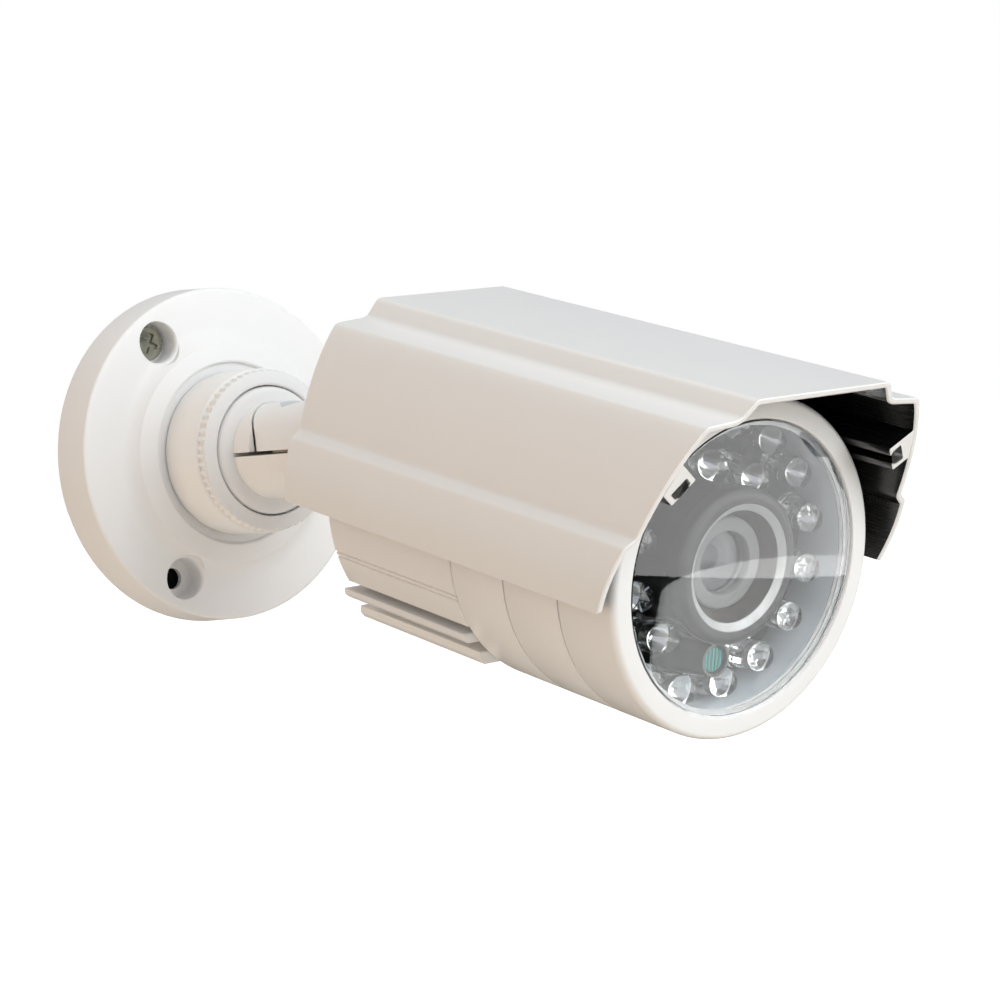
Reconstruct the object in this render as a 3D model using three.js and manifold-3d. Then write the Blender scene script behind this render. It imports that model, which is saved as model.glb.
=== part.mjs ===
// A round wall-mounted security camera: an infrared bullet housing under a sliding sunshield, carried
// by a tilt knuckle, a half-lapped pan link, a swivel stem and a round base with a locking collar.
//
// Millimetres, +Z up. The origin is the centre of the base's back face. The wall is on the +Y side and
// the camera looks towards -Y. Turned pieces are profiles of [radius, y] about the Y axis.

import * as THREE from 'three';
import { mergeVertices } from 'three/addons/utils/BufferGeometryUtils.js';
import Module from 'manifold-3d';

const wasm = await Module();
wasm.setup();

// ---------------------------------------------------------------- driving dimensions

const GAP = 0.3; // clearance between pieces that touch or slide on each other
const ROUND = 40; // facets of the large turned pieces
const MEDIUM_ROUND = 32; // facets of the arm, the lens and the rear cap
const SMALL_ROUND = 16; // facets of the small turned pieces
const TINY_ROUND = 8; // facets of screws and light-emitting diodes

// wall base
const BASE_RADIUS = 35;
const BASE_RIM_TAPER = 0.5;
const BASE_THICKNESS = 9.9;
const BASE_CROWN = 0.4; // rise of the front face from its rim to the hub
const BASE_FLOOR = 4; // thickness left behind the hollow hub
const HUB_WIDTH = 4.2; // the hub's ring outside the collar's recess
const HUB_EDGE = 1.6; // height of the hub's edge above the front face
const HUB_HEIGHT = 3; // height of the hub's inner rim above the front face
const HUB_FILLET = 2.6;
const COLLAR_RECESS_GAP = 1.9;
const COLLAR_RECESS_DEPTH = 1.2;
const NECK_WALL = 2.7;
const NECK_LENGTH = 6.4; // neck above the floor of the collar recess
const CABLE_HOLE_RADIUS = 3.6;
const CABLE_HOLE_OFFSET = 7;
const WALL_SCREW_CIRCLE = 28.2;
const WALL_SCREW_COUNT = 3;
const WALL_SCREW_FIRST_ANGLE = 120; // degrees, seen from the front, measured from the viewer's right
const WALL_HOLE_RADIUS = 2.2;
const COUNTERBORE_RADIUS = 4.2;
const COUNTERBORE_FLOOR = 5.3;
const WALL_SCREW_HEAD_RADIUS = 3.5;
const WALL_SCREW_HEAD_HEIGHT = 1.1;
const WALL_SCREW_SHANK_RADIUS = 1.8;
const WALL_SCREW_RECESS = 0.8;
const WALL_SCREW_PLATE = 1.2; // metal under a wall screw's head, in front of the hollow back
const BACK_CHANNEL_WIDTH = 9.6; // the hollow ring in the base's back
const WALL_GASKET_THICKNESS = 1.2;
const WALL_GASKET_RIM = 1.6; // the base's wall round the gasket
const GASKET_STEP = 0.4; // ledge between the hollow ring and the gasket's edge

// locking collar and swivel
const COLLAR_RADIUS = 16.9;
const COLLAR_LENGTH = 13.3;
const COLLAR_CONE = 0.6; // how far the collar's front rises towards its hole
const COLLAR_LIP = 2.2;
const COLLAR_WALL = 1.9;
const COLLAR_LIP_WIDTH = 1.3; // how far the collar's lip stands over the neck
const KNURL_TEETH = 40;
const KNURL_DEPTH = 0.5;
const KNURL_WIDTH = 2;
const FRICTION_WASHER = 0.8;
const SWIVEL_BORE = 5;

// pan joint: two half-round tongues lapped on a vertical bolt
const ARM_RADIUS = 10;
const PAN_MOUTH_GAP = 1.3; // from the pan link's round end to the collar's mouth
const PAN_LIMIT = 45; // degrees to each side
const PAN_SHOULDER_CLEARANCE = 0.5; // left by the link at the pan joint's limit
const LAP_GAP = 0.8;
const PAN_SHOULDER_GAP = 0.4;
const BOLT_RADIUS = 2.4;
const BOLT_HEAD_RADIUS = 4.2;
const BOLT_SEAT_DEPTH = 3.4; // from the arm's side to the underside of a bolt head or nut
const BOLT_SINK = 0.9; // from the arm's side to the top of a bolt head
const BOLT_SOCKET = 2.2;
const BOLT_SOCKET_DEPTH = 1.6;
const JOINT_WASHER_RADIUS = 6.5;
const PAN_WASHER = 0.5;

// tilt joint and roll stud
const TILT = 14; // degrees that the housing looks down
const TONGUE_HALF = 3.6;
const TONGUE_INSET = 1.8; // how much smaller the tilt tongue's round is than the arm
const TILT_WASHER = 0.8;
const BOSS_WIDTH = 1; // how much wider the rear boss and the knuckle's disc are than the arm
const WEB_LENGTH = 5.2;
const STUD_RADIUS = 4;
const STUD_IN_CAP = 7;
const LOCK_NUT_RADIUS = 9;
const LOCK_NUT_LENGTH = 3.2;

// housing, measured rearwards from the front ring's face
const BARREL_RADIUS = 30;
const SEAM = 0.3; // visible gap between housing sections
const BEZEL_LENGTH = 14.3;
const MIDDLE_LENGTH = 14.2;
const BARREL_REAR_LENGTH = 14.3;
const REAR_BODY_LENGTH = 35.2;
const BEZEL_RIM = 4.3; // width of the front ring's face
const WINDOW_THICKNESS = 1.5;
const WINDOW_RECESS = 0.3;
const WINDOW_LEDGE = 1.1;
const GASKET_THICKNESS = 0.5;
const BARREL_WALL = 2.5;
const SPIGOT_LENGTH = 8;
const SPIGOT_WALL = 1.7;
const BOARD_SHOULDER_WIDTH = 1.6;
const REAR_SPIGOT_INSET = 7.4; // in from the barrel's side
const REAR_SPIGOT_LENGTH = 4.4;
const REAR_SPIGOT_WALL = 3;
const REAR_BODY_WALL = 13.5;
const O_RING = 0.45; // half of an O-ring's section

// fins under the rear body: heights above the barrel's lowest line, and distances in from its side
const SLOT_1_TOP = 12.7 - BARREL_RADIUS;
const FIN_1_TOP = 11.5 - BARREL_RADIUS;
const FIN_1_BOTTOM = 9.6 - BARREL_RADIUS;
const FIN_1_TIP = BARREL_RADIUS - 4.5;
const FIN_2_TOP = 7.6 - BARREL_RADIUS;
const BODY_BOTTOM = 5.1 - BARREL_RADIUS;
const FIN_2_TIP = BARREL_RADIUS - 8.4;
const FIN_CHAMFER = 1.2;
const SLOT_1_ROOT = BARREL_RADIUS - 12.5;
const SLOT_2_ROOT = BARREL_RADIUS - 15.5;
const GROOVE_HEIGHTS = [-11.2, -12.1];
const GROOVE_HALF = 0.2;
const GROOVE_DEPTH = 0.5;
const INDEX_NOTCH = [-7.6, -5.0]; // lowest and highest point of the notch at the body's front
const INDEX_NOTCH_LENGTH = 0.5;
const INDEX_NOTCH_DEPTH = 0.9;

// rear cap
const CAP_RADIUS = BARREL_RADIUS - 5.6;
const CAP_THICKNESS = 6;
const CAP_CHAMFER = 0.8;
const CAP_RECESS_RADIUS = CAP_RADIUS - 5.8;
const CAP_RECESS_DEPTH = 1.8;
const BOSS_LENGTH = 3.5;
const CAP_SCREW_CIRCLE = CAP_RADIUS - 3.4;
const CAP_SCREW_ANGLES = [35, 145, 215, 325];
const CAP_SCREW_HEAD = 2.2;
const CAP_SCREW_SHANK = 1.3;
const CAP_SCREW_DEPTH = 2.4;
const CAP_SCREW_LENGTH = 8;
const GLAND_CLEARANCE = 1.4; // between the gland and the boss above it
const GLAND_RADIUS = 4.3;
const GLAND_LENGTH = 9.5;
const GLAND_BORE = 2.2;

// light board, lens and electronics
const CUP_RADIUS = BARREL_RADIUS - BARREL_WALL - 2.2;
const CUP_WALL = 0.5;
const LED_BOARD_FRONT = 14.9;
const BOARD_THICKNESS = 1.6;
const LED_BOARD_RADIUS = CUP_RADIUS - 0.3;
const LED_BOARD_HOLE = 8.8;
const LED_RADIUS = 2.5;
const LED_HEIGHT = 8.6;
const LED_OUTER_CIRCLE = LED_BOARD_RADIUS - 2.9;
const LED_OUTER_COUNT = 16;
const LED_INNER_CIRCLE = 15.2;
const LED_INNER_STEP = 36; // degrees
const LED_INNER_SKIPPED = [270, 342]; // the light sensor's place and a free place
const PHOTOCELL_CIRCLE = 16.8;
const PHOTOCELL_RADIUS = 2.4;
const PHOTOCELL_SLEEVE = 3;
const PHOTOCELL_FRONT = 6.2;
const HOOD_RADIUS = 13.6;
const HOOD_MOUTH = 9.7;
const HOOD_FLANGE = 2.6;
const HOOD_NECK_RADIUS = 11.5;
const LENS_RADIUS = 7.9;
const LENS_FRONT = 5.4;
const LENS_HEAD_LENGTH = 6.6;
const LENS_GLASS_RADIUS = 5.2;
const LENS_THREAD_RADIUS = 6;
const LENS_LENGTH = 16.8;
const HOLDER_FRONT = 17.6;
const HOLDER_RADIUS = 8.6;
const HOLDER_HALF = 8.6;
const HOLDER_FLANGE = 3.6;
const SENSOR_BOARD_FRONT = 27.3;
const BOARD_HALF = 17;
const CHIP_HALF = 5;
const CHIP_THICKNESS = 1.5;
const FILTER_HALF = 4.7;
const FILTER_THICKNESS = 0.7;
const MAIN_BOARD_FRONT = 36;
const STANDOFF_PLACE = 14;
const STANDOFF_RADIUS = 2;

// sunshield, half outline from the top's edge to the lower tip
const SHIELD_WALL = 1.1;
// All of it is measured from the barrel's side and from its highest line.
const SHIELD_TOP = 3.95;
const SHIELD_TOP_HALF = -14.75;
const SHIELD_STEP = [-11.8, 0.5];
const SHIELD_LEDGE = [-5.7, 0];
const SHIELD_SIDE = [[-4.8, -0.8], [-1.7, -5.6], [0.6, -12.8], [1.2, -19.2]]; // a cubic curve
const SHIELD_LIP = [[3.15, -20.8], [4.8, -26.6], [3.6, -32.8]]; // a quadratic curve
const SHIELD_FRONT = -1.3; // front edge at the housing's axis
const SHIELD_FRONT_RAKE = 0.417; // forward lean of the front edge, per unit of height
const SHIELD_OVERHANG = 1.4; // behind the rear cap
const SHIELD_REAR_RAKE = 0.053;

// the two rails that carry the sunshield
const RAIL_ANGLE = 36.9;
const RAIL_NECK = 0.75;
const RAIL_NECK_HEIGHT = 1.3;
const RAIL_HEAD = 1.35;
const RAIL_HEAD_HEIGHT = 1;
const CLAW_HALF = 2.7;
const CLAW_LIP = 0.65;
const CLAW_CLEARANCE = 0.4;
const SHIELD_SCREW_RADIUS = 1.5;
const SHIELD_SCREW_SET_BACK = 17.2; // behind the rear body's front edge
const SHIELD_SCREW_SIDE = 1; // +1 for the side the viewer's right hand is on

// ---------------------------------------------------------------- derived places

const faceY = -(BASE_THICKNESS + BASE_CROWN);
const hubY = faceY - HUB_HEIGHT;
const recessRadius = COLLAR_RADIUS + COLLAR_RECESS_GAP;
const hubRadius = recessRadius + HUB_WIDTH;
const neckRadius = COLLAR_RADIUS - COLLAR_WALL - GAP;
const neckBore = neckRadius - NECK_WALL;
const collarHole = neckRadius - COLLAR_LIP_WIDTH;
const stemNeckRadius = collarHole - GAP;
const gasketRadius = BASE_RADIUS - WALL_GASKET_RIM - GAP;
const gasketSeatY = -(WALL_GASKET_THICKNESS + GAP);
const channelY = WALL_SCREW_PLATE - COUNTERBORE_FLOOR;
const channelOuter = gasketRadius - GASKET_STEP;
const recessY = hubY + COLLAR_RECESS_DEPTH;
const neckEndY = recessY - NECK_LENGTH;
const collarBackY = recessY - GAP;
const collarFrontY = collarBackY - COLLAR_LENGTH;
const collarMouthY = collarFrontY - COLLAR_CONE;
const lipInnerY = collarFrontY + COLLAR_LIP;
const washerFrontY = neckEndY - GAP / 2 - FRICTION_WASHER;
const flangeBackY = washerFrontY - GAP / 2;
const flangeFrontY = lipInnerY + GAP;
const linkRadius = ARM_RADIUS - GAP;
const boltSeat = ARM_RADIUS - BOLT_SEAT_DEPTH;
const boltHeadTop = ARM_RADIUS - BOLT_SINK;
const tongueRadius = ARM_RADIUS - TONGUE_INSET;
const bossRadius = ARM_RADIUS + BOSS_WIDTH;
const glandOffset = bossRadius + GLAND_RADIUS + GLAND_CLEARANCE;
const panY = collarMouthY - ARM_RADIUS - PAN_MOUTH_GAP;
const panShoulderY = panY - ARM_RADIUS - PAN_SHOULDER_GAP;
const tiltY = panShoulderY - tongueRadius - 2 * GAP;
const forkInner = TONGUE_HALF + TILT_WASHER + GAP;

const middleFront = BEZEL_LENGTH;
const barrelRearFront = middleFront + MIDDLE_LENGTH;
const rearBodyFront = barrelRearFront + BARREL_REAR_LENGTH;
const rearBodyEnd = rearBodyFront + REAR_BODY_LENGTH;
const capFront = rearBodyEnd + GASKET_THICKNESS + GAP;
const capEnd = capFront + CAP_THICKNESS;
const bossEnd = capEnd + BOSS_LENGTH;
const lockNutFront = bossEnd + GAP;
const webFront = lockNutFront + LOCK_NUT_LENGTH + GAP;
const webEnd = webFront + WEB_LENGTH;
const pinPlace = webEnd + GAP + linkRadius; // the tilt bolt, from the front ring's face
const windowBack = WINDOW_RECESS + WINDOW_THICKNESS;
const ledgeFront = windowBack + GASKET_THICKNESS;
const hoodFront = windowBack + GAP;
const windowRadius = BARREL_RADIUS - BEZEL_RIM;
const spigotRadius = BARREL_RADIUS - BARREL_WALL;
const boardShoulder = LED_BOARD_RADIUS - BOARD_SHOULDER_WIDTH;
const rearSpigotRadius = BARREL_RADIUS - REAR_SPIGOT_INSET;
const rearBore = BARREL_RADIUS - REAR_BODY_WALL;
const shieldRear = capEnd + SHIELD_OVERHANG;
const shieldScrewPlace = rearBodyFront + SHIELD_SCREW_SET_BACK;

// ---------------------------------------------------------------- materials

function finish(color, roughness, metalness) {
  return () => new THREE.MeshStandardMaterial({ color, roughness, metalness });
}

const whitePaint = finish(0xeceae6, 0.35, 0.1);
const blackPlastic = finish(0x1c1c1e, 0.45, 0);
const greyPlastic = finish(0xb9bab8, 0.5, 0);
const blackRubber = finish(0x202021, 0.8, 0);
const clearGlass = finish(0xc9d2cf, 0.05, 0);
const zincYellow = finish(0xb8a05a, 0.35, 0.9);
const brightSteel = finish(0xb9bcc0, 0.3, 0.9);
const greenBoard = finish(0x1e3a2a, 0.5, 0);
const nylon = finish(0xd8d6cf, 0.6, 0);
const teal = finish(0x0f9c8e, 0.4, 0);

// ---------------------------------------------------------------- solids

const WELD = 1e-4;

// A closed geometry as a solid: shared corners welded, empty triangles dropped, faces outwards.
function solid(geometry) {
  const bare = geometry.clone();
  bare.deleteAttribute('normal');
  bare.deleteAttribute('uv');
  const welded = mergeVertices(bare, WELD);
  const corners = welded.attributes.position;
  const triangles = [];
  let volume = 0;
  const [a, b, c] = [new THREE.Vector3(), new THREE.Vector3(), new THREE.Vector3()];
  for (let i = 0; i < welded.index.count; i += 3) {
    const [p, q, r] = [0, 1, 2].map((k) => welded.index.getX(i + k));
    if (p === q || q === r || r === p) continue;
    triangles.push(p, q, r);
    a.fromBufferAttribute(corners, p);
    b.fromBufferAttribute(corners, q);
    c.fromBufferAttribute(corners, r);
    volume += a.dot(b.cross(c));
  }
  if (volume < 0) triangles.reverse();
  return new wasm.Manifold(new wasm.Mesh({
    numProp: 3,
    vertProperties: Float32Array.from(corners.array),
    triVerts: Uint32Array.from(triangles),
  }));
}

function join(first, ...others) {
  return others.reduce((whole, piece) => whole.add(piece), first);
}

function cut(first, ...others) {
  return others.reduce((whole, piece) => whole.subtract(piece), first);
}

// A profile of [radius, y] points turned about the Y axis.
function turned(profile, facets = ROUND) {
  const points = profile.map(([radius, y]) => new THREE.Vector2(radius, y));
  if (profile[0][0] > 0) points.push(points[0].clone());
  return solid(new THREE.LatheGeometry(points, facets));
}

// A round bar along Y, from one y to the other.
function bar(radius, y0, y1, facets = SMALL_ROUND, x = 0, z = 0) {
  const geometry = new THREE.CylinderGeometry(radius, radius, Math.abs(y1 - y0), facets);
  geometry.translate(x, (y0 + y1) / 2, z);
  return solid(geometry);
}

function tube(outer, inner, y0, y1, facets = ROUND) {
  return turned([[outer, y0], [outer, y1], [inner, y1], [inner, y0]], facets);
}

// A round bar along X.
function crossBar(radius, x0, x1, y, facets = SMALL_ROUND) {
  const geometry = new THREE.CylinderGeometry(radius, radius, Math.abs(x1 - x0), facets);
  geometry.rotateZ(Math.PI / 2);
  geometry.translate((x0 + x1) / 2, y, 0);
  return solid(geometry);
}

// A round bar along Z.
function post(radius, z0, z1, y, facets = SMALL_ROUND) {
  const geometry = new THREE.CylinderGeometry(radius, radius, Math.abs(z1 - z0), facets);
  geometry.rotateX(Math.PI / 2);
  geometry.translate(0, y, (z0 + z1) / 2);
  return solid(geometry);
}

function block([x0, x1], [y0, y1], [z0, z1]) {
  const geometry = new THREE.BoxGeometry(x1 - x0, y1 - y0, z1 - z0);
  geometry.translate((x0 + x1) / 2, (y0 + y1) / 2, (z0 + z1) / 2);
  return solid(geometry);
}

// An outline of [x, z] points drawn out along Y.
function drawn(outline, y0, y1) {
  const shape = new THREE.Shape(outline.map(([x, z]) => new THREE.Vector2(x, z)));
  const geometry = new THREE.ExtrudeGeometry(shape, { depth: y1 - y0, bevelEnabled: false });
  geometry.rotateX(Math.PI / 2);
  geometry.translate(0, y1, 0);
  return solid(geometry);
}

// An outline of [y, z] points drawn out along X, symmetric about the middle plane.
function slab(outline, halfWidth) {
  const shape = new THREE.Shape(outline.map(([y, z]) => new THREE.Vector2(y, z)));
  const geometry = new THREE.ExtrudeGeometry(shape, { depth: 2 * halfWidth, bevelEnabled: false });
  geometry.rotateX(Math.PI / 2);
  geometry.rotateZ(Math.PI / 2);
  geometry.translate(-halfWidth, 0, 0);
  return solid(geometry);
}

function polar(radius, degrees) {
  const angle = THREE.MathUtils.degToRad(degrees);
  return [radius * Math.cos(angle), radius * Math.sin(angle)];
}

function arc(radius, from, to, steps) {
  return Array.from({ length: steps + 1 }, (_, i) => polar(radius, from + ((to - from) * i) / steps));
}

function mirrored(points) {
  return points.map(([x, z]) => [-x, z]).reverse();
}

// A regular polygon bar along Y, such as a hexagon, by its corner radius.
function hexBar(radius, y0, y1) {
  return bar(radius, y0, y1, 6);
}

// A cross recess in a screw head whose front is at y, opening towards -Y or +Y.
function crossRecess(x, z, y, radius, depth, direction) {
  const wing = radius * 0.62;
  const half = radius * 0.14;
  const range = direction < 0 ? [y - GAP, y + depth] : [y - depth, y + GAP];
  return join(
    block([x - wing, x + wing], range, [z - half, z + half]),
    block([x - half, x + half], range, [z - wing, z + wing]),
  );
}

function place(group, name, body, material) {
  const { vertProperties, triVerts, numProp } = body.getMesh();
  const positions = new Float32Array((vertProperties.length / numProp) * 3);
  for (let i = 0; i < positions.length / 3; i += 1) {
    for (let k = 0; k < 3; k += 1) positions[3 * i + k] = vertProperties[numProp * i + k];
  }
  const geometry = new THREE.BufferGeometry();
  geometry.setAttribute('position', new THREE.BufferAttribute(positions, 3));
  geometry.setIndex(new THREE.BufferAttribute(Uint32Array.from(triVerts), 1));
  geometry.computeVertexNormals();
  const mesh = new THREE.Mesh(geometry, material());
  mesh.name = name;
  group.add(mesh);
}

// ---------------------------------------------------------------- wall bracket

function wallScrewPlace(index) {
  return polar(WALL_SCREW_CIRCLE, WALL_SCREW_FIRST_ANGLE + (index * 360) / WALL_SCREW_COUNT);
}

function wallBase() {
  const rimFront = BASE_RADIUS - BASE_RIM_TAPER;
  const fillet = [0, 1, 2, 3].map((i) => [
    hubRadius + HUB_FILLET * (1 - i / 3),
    faceY - HUB_EDGE * (i / 3) ** 2,
  ]);
  let body = turned([
    [0, gasketSeatY],
    [channelOuter - BACK_CHANNEL_WIDTH, gasketSeatY],
    [channelOuter - BACK_CHANNEL_WIDTH, channelY],
    [channelOuter, channelY],
    [channelOuter, gasketSeatY],
    [gasketRadius + GAP, gasketSeatY],
    [gasketRadius + GAP, 0],
    [BASE_RADIUS, 0],
    [rimFront + 0.05, -(BASE_THICKNESS - 0.6)],
    [rimFront - 0.5, -BASE_THICKNESS],
    ...fillet,
    [recessRadius + 0.3, hubY],
    [recessRadius, hubY + 0.3],
    [recessRadius, recessY],
    [neckRadius, recessY],
    [neckRadius, neckEndY],
    [neckBore, neckEndY],
    [neckBore, -BASE_FLOOR],
    [0, -BASE_FLOOR],
  ]);
  for (let i = 0; i < WALL_SCREW_COUNT; i += 1) {
    const [x, z] = wallScrewPlace(i);
    body = cut(
      body,
      bar(WALL_HOLE_RADIUS, 1, hubY, SMALL_ROUND, x, z),
      bar(COUNTERBORE_RADIUS, -COUNTERBORE_FLOOR, hubY - 1, SMALL_ROUND, x, z),
    );
  }
  return cut(body, bar(CABLE_HOLE_RADIUS, 1, -BASE_FLOOR - 1, SMALL_ROUND, 0, -CABLE_HOLE_OFFSET));
}

// The gasket in the base's back. The wall screws that are not fitted yet will pierce it.
function wallGasket() {
  const [x, z] = wallScrewPlace(0);
  return cut(
    bar(gasketRadius, -WALL_GASKET_THICKNESS, 0, ROUND),
    bar(WALL_SCREW_SHANK_RADIUS + GAP, 1, -WALL_GASKET_THICKNESS - 1, SMALL_ROUND, x, z),
    bar(CABLE_HOLE_RADIUS, 1, -WALL_GASKET_THICKNESS - 1, SMALL_ROUND, 0, -CABLE_HOLE_OFFSET),
  );
}

function wallScrew() {
  const [x, z] = wallScrewPlace(0);
  const headBack = -COUNTERBORE_FLOOR - GAP;
  const headFront = headBack - WALL_SCREW_HEAD_HEIGHT;
  return cut(
    join(
      bar(WALL_SCREW_HEAD_RADIUS, headFront, headBack, SMALL_ROUND, x, z),
      bar(WALL_SCREW_SHANK_RADIUS, headBack - 0.5, -GAP, TINY_ROUND, x, z),
    ),
    crossRecess(x, z, headFront, WALL_SCREW_HEAD_RADIUS, WALL_SCREW_RECESS, -1),
  );
}

function lockCollar() {
  const bore = neckRadius + GAP;
  const band = COLLAR_RADIUS - KNURL_DEPTH;
  const ring = turned([
    [COLLAR_RADIUS, collarBackY],
    [COLLAR_RADIUS, collarFrontY + KNURL_WIDTH + 0.4],
    [band, collarFrontY + KNURL_WIDTH],
    [band, collarFrontY + 0.2],
    [band - 0.3, collarFrontY - 0.05],
    [collarHole, collarMouthY],
    [collarHole, lipInnerY],
    [bore, lipInnerY],
    [bore, collarBackY],
  ]);
  const teeth = Array.from({ length: 2 * KNURL_TEETH }, (_, i) => (
    polar(i % 2 ? COLLAR_RADIUS - 0.05 : band - 0.05, (i * 180) / KNURL_TEETH)
  ));
  const knurl = cut(
    drawn(teeth, collarFrontY + 0.2, collarFrontY + KNURL_WIDTH),
    bar(band - 0.6, collarFrontY - 1, collarFrontY + KNURL_WIDTH + 1, ROUND),
  );
  return join(ring, knurl);
}

function frictionWasher() {
  return tube(neckRadius - GAP, neckBore, washerFrontY, washerFrontY + FRICTION_WASHER, MEDIUM_ROUND);
}

// The half of space above or below the lap between the pan joint's tongues.
function lapHalf(sign) {
  const [near, far] = [(sign * LAP_GAP) / 2, sign * (ARM_RADIUS + 1)];
  return block([-20, 20], [-100, 0], [Math.min(near, far), Math.max(near, far)]);
}

// A joint's bolt stands along Z through the origin until it is put in its place, its head on top.
// The hole for it, with the seats of its head and its nut.
function boltHole() {
  return join(
    post(BOLT_RADIUS + GAP, -20, 20, 0),
    post(BOLT_HEAD_RADIUS + GAP, boltSeat, 20, 0),
    post(BOLT_HEAD_RADIUS + GAP, -20, -boltSeat, 0, 6),
  );
}

function jointBolt() {
  return cut(
    join(
      post(BOLT_HEAD_RADIUS, boltSeat + GAP, boltHeadTop, 0),
      post(BOLT_RADIUS, -boltHeadTop + 0.4, boltSeat + 1, 0),
    ),
    post(BOLT_SOCKET, boltHeadTop - BOLT_SOCKET_DEPTH, boltHeadTop + 1, 0, 6),
  );
}

function jointNut() {
  return cut(
    post(BOLT_HEAD_RADIUS, -boltHeadTop + 0.5, -boltSeat - GAP, 0, 6),
    post(BOLT_RADIUS + GAP, -boltHeadTop - 1, -boltSeat + 1, 0),
  );
}

function atPan(piece) {
  return piece.translate([0, panY, 0]);
}

function atTilt(piece) {
  return piece.rotate([0, -90, 0]).translate([0, tiltY, 0]);
}

// The stem above the lap: a hollow shoulder behind the link's round end. It stops where the link's
// side comes to at the pan joint's limit.
function stemShoulder() {
  const hollow = linkRadius + PAN_SHOULDER_GAP;
  const limit = THREE.MathUtils.degToRad(PAN_LIMIT) - Math.acos(linkRadius / hollow);
  const front = panY + hollow * Math.sin(limit) + PAN_SHOULDER_CLEARANCE;
  return cut(
    bar(ARM_RADIUS, front, collarMouthY + 1, MEDIUM_ROUND).intersect(lapHalf(1)),
    post(hollow, -20, 20, panY, MEDIUM_ROUND),
  );
}

function swivelStem() {
  const roundEnd = bar(ARM_RADIUS, panY - ARM_RADIUS - 1, panY + 1, MEDIUM_ROUND)
    .intersect(post(ARM_RADIUS, -20, 20, panY, MEDIUM_ROUND));
  const tongue = join(bar(ARM_RADIUS, panY, collarMouthY + 1, MEDIUM_ROUND), roundEnd).intersect(lapHalf(-1));
  return cut(
    join(
      bar(neckRadius - GAP, flangeFrontY, flangeBackY, ROUND),
      bar(stemNeckRadius, collarMouthY, flangeFrontY + 1, ROUND),
      tongue,
      stemShoulder(),
    ),
    bar(SWIVEL_BORE, flangeBackY + 1, collarMouthY + 3),
    atPan(boltHole()),
  );
}

function washer(thickness) {
  return cut(
    post(JOINT_WASHER_RADIUS, -thickness / 2, thickness / 2, 0),
    post(BOLT_RADIUS + GAP, -1, 1, 0),
  );
}

function panLink() {
  const forkTip = bar(linkRadius, tiltY - linkRadius - 1, panY + linkRadius + 1, MEDIUM_ROUND);
  const upper = join(
    forkTip.intersect(post(linkRadius, -20, 20, panY, MEDIUM_ROUND)),
    bar(linkRadius, panShoulderY, panY, MEDIUM_ROUND),
  ).intersect(lapHalf(1));
  const ears = join(
    crossBar(linkRadius, -linkRadius, linkRadius, tiltY, MEDIUM_ROUND),
    block([-linkRadius, linkRadius], [tiltY, panShoulderY], [-linkRadius, linkRadius]),
  ).intersect(forkTip);
  const slotEnd = panShoulderY - GAP;
  const neck = bar(linkRadius, panShoulderY - 1, panShoulderY + 1, MEDIUM_ROUND).intersect(lapHalf(1));
  return cut(
    join(upper, ears, neck),
    block([-forkInner, forkInner], [tiltY - 20, slotEnd], [-20, 20]),
    block([-forkInner, forkInner], [slotEnd - 1, panShoulderY + 1], [-20, LAP_GAP / 2]),
    atPan(boltHole()),
    atTilt(boltHole()),
  );
}

// ---------------------------------------------------------------- roll joint, in the housing's frame

function rollKnuckle() {
  return cut(
    join(
      crossBar(tongueRadius, -TONGUE_HALF, TONGUE_HALF, pinPlace, MEDIUM_ROUND),
      block([-TONGUE_HALF, TONGUE_HALF], [webEnd - 1, pinPlace], [-tongueRadius, tongueRadius]),
      bar(bossRadius, webFront, webEnd, MEDIUM_ROUND),
      bar(STUD_RADIUS, bossEnd - STUD_IN_CAP, webFront + 1),
    ),
    crossBar(BOLT_RADIUS + GAP, -20, 20, pinPlace),
  );
}

function rollLockNut() {
  return cut(
    hexBar(LOCK_NUT_RADIUS, lockNutFront, lockNutFront + LOCK_NUT_LENGTH),
    bar(STUD_RADIUS + GAP, lockNutFront - 1, lockNutFront + LOCK_NUT_LENGTH + 1),
  );
}

// ---------------------------------------------------------------- housing

function frontBezel() {
  const end = BEZEL_LENGTH - SEAM / 2;
  return turned([
    [BARREL_RADIUS - 0.4, 0],
    [BARREL_RADIUS, 0.4],
    [BARREL_RADIUS, end - 0.15],
    [BARREL_RADIUS - 0.15, end],
    [spigotRadius + GAP, end],
    [spigotRadius + GAP, ledgeFront + WINDOW_LEDGE],
    [windowRadius - 0.9, ledgeFront + WINDOW_LEDGE],
    [windowRadius - 0.9, ledgeFront],
    [windowRadius + GAP, ledgeFront],
    [windowRadius + GAP, 0.2],
    [windowRadius + 0.4, 0],
  ]);
}

function windowGlass() {
  return turned([
    [0, WINDOW_RECESS],
    [windowRadius - 0.2, WINDOW_RECESS],
    [windowRadius, WINDOW_RECESS + 0.2],
    [windowRadius, windowBack],
    [0, windowBack],
  ]);
}

function windowGasket() {
  return tube(windowRadius, windowRadius - 0.9, windowBack + 0.1, ledgeFront - 0.1, MEDIUM_ROUND);
}

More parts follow.
